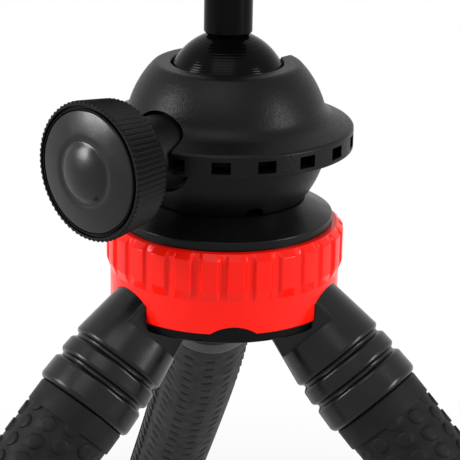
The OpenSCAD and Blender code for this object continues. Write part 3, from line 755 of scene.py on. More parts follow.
class TRIPOD_OT_stem_and_ball(TripodOperator):
    """Build the turned stem and the ball below it"""

    bl_idname = "tripod.stem_and_ball"
    bl_label = "Stem and ball"

    def execute(self, context):
        head = self.sizes.head
        flat = head.ball_z + math.sqrt(head.ball_r ** 2 - head.stem_r ** 2)
        flare = flat + head.stem_l
        shoulder = flare + head.flare_h
        bevel, soft, crisp = 1 * MM, 0.4 * MM, 0.1 * MM
        inside, neck = 0.5 * head.stem_r, head.stem_r - bevel
        stem = rounded([
            (inside, flat - bevel), (neck, flat - bevel), (neck, flat, crisp),
            (head.stem_r, flat + bevel, soft), (head.stem_r, flare, 4 * soft),
            (head.shoulder_r, shoulder, soft), (head.shoulder_r, shoulder + head.shoulder_h, soft),
            (inside, shoulder + head.shoulder_h),
        ])
        piece = make_piece("stem_turned", lathe(stem), RING_PLACE)
        finish = turned_metal(
            "black_stem", self.colours.metal, roughness=0.2, spacing=0.22 * MM, depth=0.002 * MM
        )
        dress(piece, finish, ["stem"], "stem")
        top = math.degrees(math.asin((flat - head.ball_z) / head.ball_r))
        ball = arc((0, head.ball_z), head.ball_r, -88, top, 64)
        step = 0.15 * MM
        ball += [(head.stem_r - 2 * step, flat + step), (0.8 * head.stem_r, flat + step)]
        piece = make_piece("ball_turned", lathe(ball, around=160), RING_PLACE)
        finish = turned_metal(
            "gloss_ball", self.colours.metal, roughness=0.16, spacing=0.45 * MM, depth=0.02 * MM
        )
        dress(piece, finish, ["ball"], "ball")
        return {"FINISHED"}


class TRIPOD_OT_housing(TripodOperator):
    """Build the dome with its windowed skirt and the bowl under it"""

    bl_idname = "tripod.housing"
    bl_label = "Housing"

    def execute(self, context):
        head = self.sizes.head
        finish = grained_plastic("housing_plastic", self.colours.housing)
        dome = make_piece("dome_shell_moulded", lathe(self.dome_outline(head), True, 192), RING_PLACE)
        carve(dome, self.windows(head), RING_PLACE)
        carve(dome, self.neck_hole(head, head.collar_r - MM), knob_place())
        carve(dome, self.slot(head), RING_PLACE)
        dress(dome, finish, ["dome_shell"], "head")
        bowl = make_piece("bowl_shell_moulded", lathe(self.bowl_outline(head), True, 160), RING_PLACE)
        carve(bowl, self.neck_hole(head, head.collar_r), knob_place())
        carve(bowl, lathe([(head.insert_r, 0), (head.insert_r, head.housing_r)], around=64), knob_place())
        carve(bowl, self.drain(head), RING_PLACE)
        carve(bowl, self.slot(head), RING_PLACE)
        dress(bowl, finish, ["bowl_shell"], "head")
        return {"FINISHED"}

    def dome_outline(self, head):
        """Round dome, hollow fillet, sloped skirt and the inside of the shell."""
        soft, rim_soft, edge_soft, crisp, gap = 0.45 * MM, 1.8 * MM, 0.6 * MM, 0.25 * MM, 0.1 * MM
        middle = (0, head.housing_z)
        top = head.split_z + head.skirt_h
        edge = Vector((head.skirt_r - soft, top + soft))
        inner_end = Vector((head.housing_r - MM, top + soft + head.skirt_rise))
        slope = (inner_end - edge).normalized()
        above = Vector((slope.y, -slope.x))
        # The fillet's centre lies one fillet radius above the slope and outside the sphere
        base = edge + above * head.skirt_fillet - Vector(middle)
        reach = head.housing_r + head.skirt_fillet
        run = -base.dot(slope) - math.sqrt(base.dot(slope) ** 2 - base.length_squared + reach ** 2)
        centre = base + slope * run + Vector(middle)
        spoke = centre - Vector(middle)
        from_sphere = math.degrees(math.atan2(-spoke.y, -spoke.x)) % 360
        to_slope = math.degrees(math.atan2(-above.y, -above.x)) % 360
        fillet = arc(centre, head.skirt_fillet, from_sphere, to_slope, 8)
        rim_angle = math.degrees(math.asin((head.rim_z - head.housing_z) / head.housing_r))
        # The sphere starts some degrees below the rim, which leaves room for its rounding
        rim_room = 6
        sphere_end = math.degrees(spoke.angle(Vector((1, 0))))
        sphere = arc(middle, head.housing_r, rim_angle - rim_room, sphere_end, 20)
        rim_r = head.housing_r * math.cos(math.radians(rim_angle))
        race_start, race_end = 2, 24
        race = arc((0, head.ball_z), head.ball_r + gap, race_start, race_end, 6)
        corners = [(head.mouth_r, head.rim_z, soft), (rim_r, head.rim_z, rim_soft), *sphere, *fillet]
        corners += [
            (edge.x, edge.y, edge_soft), (head.skirt_r, top, soft), (head.skirt_r, head.split_z, crisp),
            (head.collar_r + gap, head.split_z), (head.collar_r + gap, head.collar_z + gap),
            (head.cavity_r, head.collar_z + gap), (head.cavity_r, head.ball_z), *race,
        ]
        return rounded(corners)

    def bowl_outline(self, head):
        """Round outside and the stepped cavity for the ball seat and the pan nut."""
        ring = self.sizes.ring
        foot = ring.ring_h + ring.plate_h
        heights = (foot, head.split_z)
        angles = [math.degrees(math.asin((z - head.housing_z) / head.housing_r)) for z in heights]
        outside = arc((0, head.housing_z), head.housing_r, *angles, 24)
        floor, pocket = foot + 2.5 * MM, 8 * MM
        return outside + [
            (head.collar_r, head.split_z), (head.collar_r, head.collar_z), (head.cavity_r, head.collar_z),
            (head.cavity_r, head.cavity_z), (pocket, head.cavity_z), (pocket, floor),
            (ring.bolt_r, floor), (ring.bolt_r, foot),
        ]

    def windows(self, head):
        """Blocks that open the windows in the skirt, none where the knob is."""
        half_w, half_h = head.window_w / 2, head.window_h / 2
        middle = head.split_z + head.skirt_h / 2
        start = head.skirt_r - head.window_depth
        section = [(-half_h, -half_w), (half_h, -half_w), (half_h, half_w), (-half_h, half_w)]
        block = bar(section, start, head.skirt_r + MM)
        first = azimuth_of(JOINTS["knob_turn"]["axis"])
        turns = [first + 2 * math.pi * i / head.window_count for i in range(1, head.window_count)]
        return merged(*(moved(block, at_azimuth(turn) @ along_x(middle)) for turn in turns))

    def neck_hole(self, head, start):
        """Round hole for the knob's neck."""
        return lathe([(head.neck_hole_r, start), (head.neck_hole_r, 2 * head.skirt_r)], around=96)

    def slot(self, head):
        """Way that the stem takes when it drops to the side opposite the knob."""
        turn = azimuth_of(JOINTS["knob_turn"]["axis"]) + math.pi
        above_rim, past_skirt = 5 * MM, 2 * MM
        high = head.rim_z - head.ball_z + above_rim
        # The section's first axis points down once the bar lies along the slot
        section = arc((0, 0), head.slot_r, -90, 90, 24) + [(-high, head.slot_r), (-high, -head.slot_r)]
        shape = bar(section, 0, head.skirt_r + past_skirt)
        return moved(shape, at_azimuth(turn) @ along_x(head.ball_z))

    def drain(self, head):
        """Half-round hole at the bowl's foot."""
        ring = self.sizes.ring
        foot = ring.ring_h + ring.plate_h
        start = 9 * MM
        hole = lathe([(head.drain_r, start), (head.drain_r, head.housing_r)], around=40)
        return moved(hole, at_azimuth(head.drain_azimuth) @ along_x(foot))


class TRIPOD_OT_knob(TripodOperator):
    """Build the ridged clamp knob and its round cap"""

    bl_idname = "tripod.knob"
    bl_label = "Clamp knob"

    def execute(self, context):
        knob = self.sizes.knob
        depth = self.sizes.seat.ridge_depth
        body = ridged_lathe(self.body_outline(knob), knob.ridges, depth, join=True)
        piece = make_piece("knob_body_ridged", body, knob_place())
        finish = grained_plastic("knob_plastic", self.colours.housing, roughness=0.45, grain=2400)
        dress(piece, finish, ["knob_body"], "knob")
        cap = make_piece("knob_cap_crowned", lathe(self.cap_outline(knob), around=160), knob_place())
        finish = smooth_plastic("cap_plastic", self.colours.housing, roughness=0.24, specular=0.3)
        dress(cap, finish, ["knob_cap"], "knob")
        return {"FINISHED"}

    def body_outline(self, knob):
        """Neck, ridged rim with bevelled ends, and the seat for the cap."""
        lip, soft, crisp = 0.8 * MM, 0.4 * MM, 0.12 * MM
        front = knob.rim_front
        gap, wall = 0.1 * MM, 0.15 * MM
        seat_r = knob.cap_r + gap
        back_r = knob.rim_r - knob.rim_draft
        moat_r, moat_w, moat_depth = seat_r + wall, 0.6 * MM, 0.9 * MM
        corners = [
            (knob.bore_r, knob.neck_start), (knob.neck_r, knob.neck_start, soft),
            (knob.neck_r, knob.rim_back, soft), (back_r - lip, knob.rim_back, soft),
            (back_r, knob.rim_back + lip, soft), (knob.rim_r, front - soft, crisp),
            (knob.rim_r - soft, front, crisp), (moat_r + moat_w, front, crisp),
            (moat_r + moat_w, front - moat_depth, crisp), (moat_r, front - moat_depth, crisp),
            (moat_r, front + crisp, crisp), (seat_r, front + crisp, crisp),
            (seat_r, front - knob.cap_seat), (knob.bore_r, front - knob.cap_seat),
        ]
        outline = []
        for r, z in rounded(corners):
            rim = np.interp(z, [knob.rim_back, front], [back_r, knob.rim_r])
            outline.append((r, z, min(1, max(0, (r - rim + lip) / lip))))
        return outline

    def cap_outline(self, knob):
        """Low crown with a hollow round a raised middle."""
        base = knob.rim_front - knob.cap_seat
        crown_r = knob.cap_crown / 2 + knob.cap_r ** 2 / (2 * knob.cap_crown)
        dip, dip_w, edge = 0.3 * MM, 0.8 * MM, 0.2 * MM
        outline = [(knob.cap_r, base), (knob.cap_r, knob.rim_front - edge)]
        for r in knob.cap_r * np.linspace(0.985, 0.02, 72):
            crown = knob.rim_front + knob.cap_crown - crown_r + math.sqrt(crown_r ** 2 - r ** 2)
            raised = knob.cap_dome_h * max(0, 1 - (r / knob.cap_dome_r) ** 2)
            crease = dip * math.exp(-(((r - knob.cap_dome_r) / dip_w) ** 2))
            outline.append((r, crown + raised - crease))
        return outline


class TRIPOD_OT_base_plate(TripodOperator):
    """Build the conical base plate under the housing"""

    bl_idname = "tripod.base_plate"
    bl_label = "Base plate"

    def execute(self, context):
        ring = self.sizes.ring
        low, edge, top = ring.ring_h, ring.ring_h + ring.plate_edge, ring.ring_h + ring.plate_h
        soft, crisp = 0.35 * MM, 0.2 * MM
        outline = rounded([
            (ring.bolt_r, low), (ring.plate_r, low, crisp), (ring.plate_r, edge, soft),
            (ring.plate_top_r, top, crisp), (ring.bolt_r, top),
        ])
        piece = make_piece("base_plate_turned", lathe(outline, True, 192), RING_PLACE)
        finish = smooth_plastic("plate_paint", self.colours.plate, roughness=0.3, specular=0.12)
        dress(piece, finish, ["base_plate"], "base")
        return {"FINISHED"}


def collar_taper(leg):
    """How fast the collar's back and its root narrow towards the hub."""
    return (leg.collar_mid_r - leg.collar_back_r) / leg.collar_back


def root_room(sizes, name):
    """Room for a leg's flat-sided root through the ring and the cover, in its place."""
    leg, fit = sizes.leg, sizes.ring.fit
    half = leg.root_w / 2 + fit
    loops = []
    for z in (-leg.collar_back - leg.root_l - fit, 0):
        radius = leg.collar_mid_r + collar_taper(leg) * z + fit
        reach = math.degrees(math.asin(half / radius))
        section = arc((0, 0), radius, -reach, reach, 32) + arc((0, 0), radius, 180 - reach, 180 + reach, 32)
        loops.append([(x, y, z) for x, y in section])
    return moved(skin(loops), LegLine(name, leg).place())


def collar_room(sizes, name):
    """Room for the back of a leg's collar in the cover, in its place."""
    leg, fit = sizes.leg, sizes.ring.fit
    outline = [(leg.collar_back_r + fit, -leg.collar_back - fit), (leg.collar_mid_r + fit, 0)]
    return moved(lathe(outline), LegLine(name, leg).place())


class TRIPOD_OT_grip_ring(TripodOperator):
    """Build the red ring with its teeth, its arches for the legs and its scallops"""

    bl_idname = "tripod.grip_ring"
    bl_label = "Red ring"

    def execute(self, context):
        ring = self.sizes.ring
        piece = make_piece("grip_ring_toothed", self.toothed(ring), RING_PLACE)
        for name in LEG_NAMES:
            carve(piece, root_room(self.sizes, name))
        past = 3 * MM
        carve(piece, scallop_bars(ring, 0, ring.bore_r - past, ring.band_r + past), RING_PLACE)
        dress(piece, red_plastic("ring_plastic", self.colours.ring), ["grip_ring"], "base")
        return {"FINISHED"}

    def toothed(self, ring):
        """Outline of the ring, pressed in along each groove between two teeth."""
        tooth_r = ring.band_r + ring.tooth_out
        floor_r = tooth_r - ring.groove_depth
        soft, crisp, top_soft = 0.8 * MM, 0.3 * MM, 0.35 * MM
        outline = rounded([
            (ring.bore_r, 0), (ring.band_r, 0, crisp), (ring.band_r, ring.band_h, soft),
            (tooth_r, ring.band_h + ring.tooth_rise, soft), (tooth_r, ring.ring_h - ring.chamfer_h, crisp),
            (tooth_r - ring.chamfer_w, ring.ring_h, top_soft), (ring.bore_r, ring.ring_h),
        ], steps=5)
        # The flanks ease in and out a little past their own width
        ease_w, crown_start = 0.1 * MM, 0.4 * MM
        half_floor = ring.groove_w / 2
        half_top = half_floor + ring.flank_w
        half_pitch = math.pi * tooth_r / ring.tooth_count
        flank = np.linspace(half_floor - ease_w, half_top + ease_w, 8)
        side = np.concatenate([flank, np.linspace(half_top + crown_start, half_pitch, 4)])
        offsets = np.concatenate([-side[-2::-1], [0], side])
        ease = np.clip((half_top + ease_w - np.abs(offsets)) / (ring.flank_w + 2 * ease_w), 0, 1)
        sunk = np.tile(ease * ease * (3 - 2 * ease), ring.tooth_count)
        tooth_turn = 2 * math.pi / ring.tooth_count
        starts = ring.tooth_azimuth - math.pi / 2 + tooth_turn * np.arange(ring.tooth_count)
        turns = (starts[:, None] + offsets[None, :] / tooth_r).ravel()
        return skin([level_loop(r - sunk * max(0, r - floor_r), turns, z) for r, z in outline], join=True)


def scallop_bars(ring, shrink, start, end):
    """Round bars along the three scallops in the ring's lower edge."""
    radius = ring.scallop_h / 2 + ring.scallop_w ** 2 / (8 * ring.scallop_h)
    rod = lathe([(radius - shrink, start), (radius - shrink, end)], around=128)
    return merged(*(moved(rod, at_azimuth(turn) @ along_x(ring.scallop_h - radius)) for turn in THIRDS))


class TRIPOD_OT_hub_cover(TripodOperator):
    """Build the black cover under the hub, with its ears and screws"""

    bl_idname = "tripod.hub_cover"
    bl_label = "Hub cover"
    HEAD_H = 1.3 * MM

    def execute(self, context):
        ring = self.sizes.ring
        cover = make_piece("hub_cover_moulded", self.plate(ring), RING_PLACE)
        carve(cover, self.ears(ring), RING_PLACE, "UNION")
        ear_r = ring.band_r - ring.ear_inset
        round_room = lathe([(ear_r, -ring.ring_h), (ear_r, ring.ring_h)], around=160)
        carve(cover, round_room, RING_PLACE, "INTERSECT")
        for name in LEG_NAMES:
            carve(cover, root_room(self.sizes, name))
            carve(cover, collar_room(self.sizes, name))
        sink = lathe([(ring.screw_r, -MM), (ring.screw_r, self.HEAD_H)], around=40)
        carve(cover, self.at_screws(sink), RING_PLACE)
        finish = smooth_plastic("cover_plastic", self.colours.collar, roughness=0.4)
        dress(cover, finish, ["hub_cover"], "base")
        screws = make_piece("cover_screws_crossed", self.at_screws(self.screw(ring)), RING_PLACE)
        carve(screws, self.at_screws(self.cross()), RING_PLACE)
        steel = turned_metal(
            "screw_steel", self.colours.steel, roughness=0.3, spacing=0.2 * MM, depth=0.002 * MM, metallic=1
        )
        dress(screws, steel, ["cover_screws"], "base")
        return {"FINISHED"}

    def at_screws(self, shape):
        """A shape at each of the three screws, measured from the cover's lower face."""
        ring = self.sizes.ring
        spot = Matrix.Translation((ring.screw_ring_r, 0, -ring.cover_h))
        return merged(*(moved(shape, at_azimuth(turn) @ spot) for turn in THIRDS))

    def cross(self):
        """Recess for a cross-tipped driver."""
        half, arm, deep = 0.35 * MM, 1.7 * MM, 1.0 * MM
        quarter = [(arm, half), (half, half), (half, arm)]
        section = quarter + [(-y, x) for x, y in quarter]
        section += [(-x, -y) for x, y in section]
        return bar(section, -MM, deep)

    def plate(self, ring):
        """Disc with a round lower edge and a shallow round hollow underneath."""
        soft, dip, hole, hole_edge = 0.6 * MM, 0.8 * MM, 9 * MM, 9.8 * MM
        outline = rounded([
            (hole, 0), (hole, -ring.cover_h + dip), (hole_edge, -ring.cover_h, soft),
            (ring.cover_r, -ring.cover_h, soft), (ring.cover_r, 0),
        ])
        return lathe(outline, around=160)

    def ears(self, ring):
        """Three ears that fill the scallops in the ring."""
        inwards, above_face = 2 * MM, 0.4 * MM
        points, faces = scallop_bars(ring, ring.fit, ring.bore_r - inwards, ring.band_r + MM)
        return [(x, y, max(z, -ring.cover_h + above_face)) for x, y, z in points], faces

    def screw(self, ring):
        """Sunk head and shank of a cover screw."""
        shank, shank_end, gap, low, soft = 1.5 * MM, 9 * MM, 0.1 * MM, 0.05 * MM, 0.2 * MM
        outline = rounded([
            (0.3 * MM, 0), (ring.screw_r - gap, low, soft), (shank, self.HEAD_H), (shank, shank_end),
        ])
        return lathe(outline, around=40)


class TRIPOD_OT_collars(TripodOperator):
    """Build the three grooved collars with their flat-sided roots"""

    bl_idname = "tripod.collars"
    bl_label = "Collars"

    def execute(self, context):
        leg = self.sizes.leg
        finish = smooth_plastic("collar_plastic", self.colours.collar, roughness=0.28, specular=0.24)
        turned = lathe(self.outline(leg), around=144)
        cutters = self.flanks(leg)
        for name in LEG_NAMES:
            place = LegLine(name, leg).place()
            piece = make_piece(f"{name}_collar_grooved", turned, place)
            for cutter in cutters:
                carve(piece, cutter, place)
            dress(piece, finish, [f"{name}_collar"], "base")
        return {"FINISHED"}

    def flanks(self, leg):
        """Blocks that leave the root flat on two sides, and wedges that bevel its edges."""
        half, wide, bevel = leg.root_w / 2, 2 * leg.collar_end_r, 0.5 * MM
        start, end = -leg.collar_back - leg.root_l - MM, -leg.flat_end
        section = [(-wide, half), (wide, half), (wide, wide), (-wide, wide)]
        loops, mirrored = [], []
        for z in (start, end):
            radius = leg.collar_mid_r + collar_taper(leg) * z
            edge = math.asin(half / radius)
            on_round = Vector((math.cos(edge - bevel / radius), math.sin(edge - bevel / radius))) * radius
            on_flat = Vector((radius * math.cos(edge) - bevel, half))
            run = on_flat - on_round
            out = Vector((on_round.x, half)) + Vector((run.y, -run.x))
            wedge = [on_round - run, out, on_flat + run]
            loops.append([(x, y, z) for x, y in wedge])
            mirrored.append([(-x, y, z) for x, y in reversed(wedge)])
        one_side = (bar(section, start - leg.collar_back, end), skin(loops), skin(mirrored))
        turn = Matrix.Rotation(math.pi, 4, "Z")
        return [merged(shape, moved(shape, turn)) for shape in one_side]

    def outline(self, leg):
        """Tapered root and drums, two grooves, a round end and the seat for the sleeve."""
        half = leg.groove_w / 2
        soft, end_soft, floor, slant = 0.9 * MM, 1.3 * MM, 0.3 * MM, 0.4 * MM
        root = -leg.collar_back - leg.root_l
        second_r = (leg.collar_mid_r + leg.collar_end_r) / 2
        corners = [(0.5 * leg.plug_r, root), (leg.collar_mid_r + collar_taper(leg) * root, root, floor)]
        for spot, radius in ((0, leg.collar_mid_r), (leg.collar_mid, second_r)):
            corners += [
                (radius, spot - half - slant, soft), (radius - leg.groove_depth, spot - half / 2, floor),
                (radius - leg.groove_depth, spot + half / 2, floor), (radius, spot + half + slant, soft),
            ]
        corners += [
            (leg.collar_end_r, leg.collar_end, end_soft), (leg.plug_r, leg.collar_end),
            (leg.plug_r, leg.collar_end - leg.plug_l), (0.5 * leg.plug_r, leg.collar_end - leg.plug_l),
        ]
        return rounded(corners, steps=5)


class SleeveMesh:
    """Sleeve skin of raised dots and sunk bars, laid out in quarter tiles round and along a leg."""

    QUARTERS = 4

    def __init__(self, leg):
        self.leg = leg
        self.start = leg.collar_end + leg.band_l
        self.quarter_turn = 2 * math.pi / (leg.columns * self.QUARTERS)
        self.quarter_run = leg.dot_pitch / self.QUARTERS
        self.along, self.around, self.radius = [], [], []
        self.faces = []
        self.corner_index = {}

    def vertex(self, along, around, radius):
        """Adds a point and returns its number."""
        self.along.append(along)
        self.around.append(around)
        self.radius.append(radius)
        return len(self.along) - 1

    def corner(self, i, j):
        """The shared point at a quarter turn i and a quarter run j."""
        key = (i % (self.leg.columns * self.QUARTERS), j)
        if key not in self.corner_index:
            turn = (key[0] - self.QUARTERS / 2) * self.quarter_turn
            self.corner_index[key] = self.vertex(self.start + j * self.quarter_run, turn, self.leg.sleeve_r)
        return self.corner_index[key]

    def strip(self, first, second, closed=False):
        """Quads between two rows of points."""
        count = len(first) if closed else len(first) - 1
        for k in range(count):
            n = (k + 1) % len(first)
            face = (first[k], first[n], second[n], second[k])
            unique = tuple(dict.fromkeys(face))
            if len(unique) > 2:
                self.faces.append(unique)

    def is_bar(self, column):
        """Whether a column on the inner side has sunk bars."""
        half = self.leg.columns // 2
        return abs(column - half) <= self.leg.bar_columns // 2

    def rings(self, column):
        """Half sizes round and along the leg, and height, of each ring of a dot or a bar."""
        leg = self.leg
        if self.is_bar(column):
            edge = 0.45 * MM
            w, h, depth = leg.bar_w / 2, leg.bar_h / 2, leg.bar_depth
            return [(w, h, 0), (w - 0.5 * edge, h - 0.5 * edge, -0.6 * depth), (w - edge, h - edge, -depth)]
        r, up = leg.dot_r, leg.band_r - leg.sleeve_r
        levels = [(r + 0.06 * MM, 0), (r + 0.02 * MM, 0.75 * up), (r - 0.07 * MM, up), (0.5 * r, up)]
        return [(radius, radius, height) for radius, height in levels]

    def raised(self, column, i, j, steps):
        """Rings of points of the dot or bar whose middle is at quarter turn i and quarter run j."""
        turn = (i - self.QUARTERS / 2) * self.quarter_turn
        run = self.start + j * self.quarter_run
        square = 0.55 if self.is_bar(column) else 1.0
        made = []
        for half_w, half_h, height in self.rings(column):
            row = []
            for step in steps:
                c, s = math.cos(step), math.sin(step)
                across = math.copysign(abs(c) ** square, c) * half_w
                along = math.copysign(abs(s) ** square, s) * half_h
                radius = self.leg.sleeve_r + height
                row.append(self.vertex(run + along, turn + across / self.leg.sleeve_r, radius))
            made.append(row)
        middle = self.vertex(run, turn, self.leg.sleeve_r + self.rings(column)[-1][2])
        return made, middle

    def tile(self, column, j):
        """A whole tile that starts at quarter run j."""
        q = self.QUARTERS
        i = column * q
        border = [(i + k, j) for k in range(q)] + [(i + q, j + k) for k in range(q)]
        border += [(i + q - k, j + q) for k in range(q)] + [(i, j + q - k) for k in range(q)]
        edge = [self.corner(*spot) for spot in border]
        steps = [math.radians(225) + 2 * math.pi * k / len(edge) for k in range(len(edge))]
        rings, middle = self.raised(column, i + q / 2, j + q / 2, steps)
        for outer, inner in zip([edge, *rings], rings):
            self.strip(outer, inner, closed=True)
        last = rings[-1]
        self.faces += [(last[k], last[(k + 1) % len(last)], middle) for k in range(len(last))]

    def half_tile(self, column):
        """The outer half of a tile whose dot is cut by the band, and the row of points along the band."""
        q = self.QUARTERS
        i = column * q
        border = [(i + q, k) for k in range(q // 2)] + [(i + q - k, q // 2) for k in range(q)]
        border += [(i, q // 2 - k) for k in range(q // 2 + 1)]
        edge = [self.corner(*spot) for spot in border]
        steps = [math.pi * k / (len(edge) - 1) for k in range(len(edge))]
        rings, middle = self.raised(column, i + q / 2, 0, steps)
        for outer, inner in zip([edge, *rings], rings):
            self.strip(outer, inner)
        last = rings[-1]
        self.faces += [(last[k], last[k + 1], middle) for k in range(len(last) - 1)]
        rows = [edge, *rings]
        return [row[-1] for row in rows] + [middle] + [row[0] for row in reversed(rows)]

    def flat_half(self, column, j):
        """A plain half tile that starts at quarter run j."""
        q = self.QUARTERS
        i = column * q
        for k in range(q):
            for n in range(q // 2):
                spots = [(i + k, j + n), (i + k + 1, j + n), (i + k + 1, j + n + 1), (i + k, j + n + 1)]
                self.faces.append(tuple(self.corner(*spot) for spot in spots))

    def whole(self, column):
        """Whether a column's tiles start level with the band."""
        return column % 2 == 1 or self.is_bar(column)

    def tiles(self, first, last, ends):
        """Rows of tiles from one row number to another, made even where the sleeve ends."""
        q = self.QUARTERS
        for column in range(self.leg.columns):
            if self.whole(column):
                for row in range(first, last):
                    self.tile(column, row * q)
                continue
            for row in range(max(first, 1), last):
                self.tile(column, row * q - q // 2)
            if ends:
                self.flat_half(column, last * q - q // 2)

    def front_row(self):
        """Points along the band's edge, with half dots in every second column."""
        row = []
        for column in range(self.leg.columns):
            i = column * self.QUARTERS
            if self.whole(column):
                spots = [self.corner(i + k, 0) for k in range(self.QUARTERS + 1)]
            else:
                spots = self.half_tile(column)
            row += spots[:-1]
        return row

    def border(self, row):
        """Points along the stepped edge before or after a row of tiles."""
        q = self.QUARTERS
        made = []
        last_j = None
        for column in range(self.leg.columns):
            j = row * q if self.whole(column) else row * q - q // 2
            if last_j is not None and j != last_j:
                step = 1 if j > last_j else -1
                made += [(column * q, k) for k in range(last_j, j, step)]
            made += [(column * q + k, j) for k in range(q)]
            last_j = j
        first_j = row * q if self.whole(0) else row * q - q // 2
        if last_j != first_j:
            step = 1 if first_j > last_j else -1
            made += [(0, k) for k in range(last_j, first_j, step)]
        return [self.corner(*spot) for spot in made]

    def close(self, loop, along):
        """Closes a loop of points with a fan to the middle of the leg."""
        middle = self.vertex(along, 0.0, 0.0)
        self.faces += [(loop[k], loop[(k + 1) % len(loop)], middle) for k in range(len(loop))]

    def rim(self, loop, profile):
        """Adds round loops of (distance along, radius) after a loop and returns the last one."""
        for along, radius in profile:
            ring = []
            for point in loop:
                same = abs(self.along[point] - along) < 1e-9 and abs(self.radius[point] - radius) < 1e-9
                ring.append(point if same else self.vertex(along, self.around[point], radius))
            self.strip(loop, ring, closed=True)
            loop = ring
        return loop

    def shape(self, line):
        """Points and faces on a leg's middle line."""
        points = line.surface(self.along, self.around, self.radius)
        return [tuple(p) for p in points], self.faces


class TRIPOD_OT_sleeves(TripodOperator):
    """Build the dotted rubber sleeves, each in three stretches laid along the leg's curved middle line"""

    bl_idname = "tripod.sleeves"
    bl_label = "Sleeves"

    def execute(self, context):
        leg = self.sizes.leg
        finish = matt_rubber("sleeve_rubber", self.colours.rubber)
        for name in LEG_NAMES:
            line = LegLine(name, leg)
            start = leg.collar_end + leg.band_l
            foot_start = line.marks[4] - leg.foot_cup
            rows = [0]
            for k in (1, 2):
                middle = (line.marks[k] + line.marks[k + 1]) / 2
                rows.append(round((middle - start) / leg.dot_pitch))
            rows.append(math.floor((foot_start - start) / leg.dot_pitch))
            nodes = [[f"{name}_sleeve_1"], [f"{name}_sleeve_2"], [f"{name}_sleeve_3", f"{name}_sleeve_4"]]
            for k in range(3):
                shape = self.stretch(leg, line, rows[k], rows[k + 1], foot_start)
                piece = make_piece(f"{name}_sleeve_stretch_{k + 1}", shape)
                dress(piece, finish, nodes[k], sharp=80)
                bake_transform(piece)
        return {"FINISHED"}

    def stretch(self, leg, line, first, last, foot_start):
        """One stretch of sleeve, from one row of dots to another."""
        mesh = SleeveMesh(leg)
        ends = foot_start - (mesh.start + last * leg.dot_pitch) < leg.dot_pitch
        mesh.tiles(first, last, ends)
        soft, in_foot = 0.2 * MM, 5 * MM
        if first == 0:
            edge = mesh.start
            seat = leg.collar_end
            profile = [
                (edge, leg.band_r - 0.3 * soft), (edge - soft, leg.band_r), (seat + 2 * soft, leg.band_r),
                (seat + 0.3 * soft, leg.band_r - soft), (seat, leg.band_r - 3 * soft), (seat, leg.plug_r),
                (seat - leg.plug_l, leg.plug_r),
            ]
            loop = mesh.rim(mesh.front_row(), profile)
            mesh.close(loop, seat - leg.plug_l)
        else:
            mesh.close(mesh.border(first), mesh.start + first * leg.dot_pitch)
        if ends:
            q = mesh.QUARTERS
            loop = [mesh.corner(i, last * q) for i in range(leg.columns * q)]
            tail = foot_start + in_foot
            loop = mesh.rim(loop, [(tail, leg.sleeve_r - soft)])
            mesh.close(loop, tail)
        else:
            mesh.close(mesh.border(last), mesh.start + last * leg.dot_pitch)
        return mesh.shape(line)


class TRIPOD_OT_feet(TripodOperator):
    """Build the rubber feet at the ends of the legs"""

    bl_idname = "tripod.feet"
    bl_label = "Feet"

    def execute(self, context):
        leg = self.sizes.leg
        finish = matt_rubber("foot_rubber", self.colours.rubber, roughness=0.58)
        shape = lathe(self.outline(leg), around=112)
        for name in LEG_NAMES:
            line = LegLine(name, leg)
            piece = make_piece(f"{name}_foot_moulded", shape, line.place(line.marks[4]))
            dress(piece, finish, [f"{name}_foot"], f"{name}_leg_4")
        return {"FINISHED"}

    def outline(self, leg):
        """Cup with two rounded rings and a round end, measured from the middle of that end."""
        soft, dip, grip, pocket = 0.5 * MM, 0.5 * MM, 0.1 * MM, 2 * MM
        start, outer = -leg.foot_cup, leg.foot_r
        inner = leg.sleeve_r - grip
        corners = [
            (0.6 * outer, start + pocket), (inner, start + pocket), (inner, start), (outer, start, 2 * soft),
        ]
        for spot in (-5.2 * MM, -2.6 * MM):
            corners += [(outer, spot - soft, soft), (outer - dip, spot, soft), (outer, spot + soft, soft)]
        corners += arc((0, 0), outer, 0, 88, 24)
        return rounded(corners)


class TRIPOD_OT_inner_pieces(TripodOperator):
    """Give the solids inside the head, the hub and the legs their finishes"""

    bl_idname = "tripod.inner_pieces"
    bl_label = "Inner pieces"

    def execute(self, context):
        colours = self.colours
        rings = {"depth": 0.003 * MM, "metallic": 1}
        steel = turned_metal("inner_steel", colours.steel, roughness=0.32, spacing=0.25 * MM, **rings)
        brass = turned_metal("turned_brass", colours.brass, roughness=0.3, spacing=0.2 * MM, **rings)
        nylon = smooth_plastic("natural_nylon", colours.nylon, roughness=0.45)
        finishes = {
            "ball_seat": nylon, "brake_shoe": nylon, "pan_washer": nylon,
            "clamp_screw": steel, "centre_bolt": steel, "pan_nut": steel,
            "clamp_insert": brass, "hub_body": smooth_plastic("hub_plastic", colours.collar, roughness=0.5),
        }
        wire = turned_metal(
            "soft_wire", colours.aluminium, roughness=0.4, spacing=0.4 * MM, depth=0.002 * MM, metallic=1
        )
        for name in LEG_NAMES:
            for k in range(1, 5):
                finishes[f"{name}_core_{k}"] = wire
        for node, finish in finishes.items():
            mesh = frame["nodes"][node].data
            mesh.materials.clear()
            mesh.materials.append(finish)
        return {"FINISHED"}


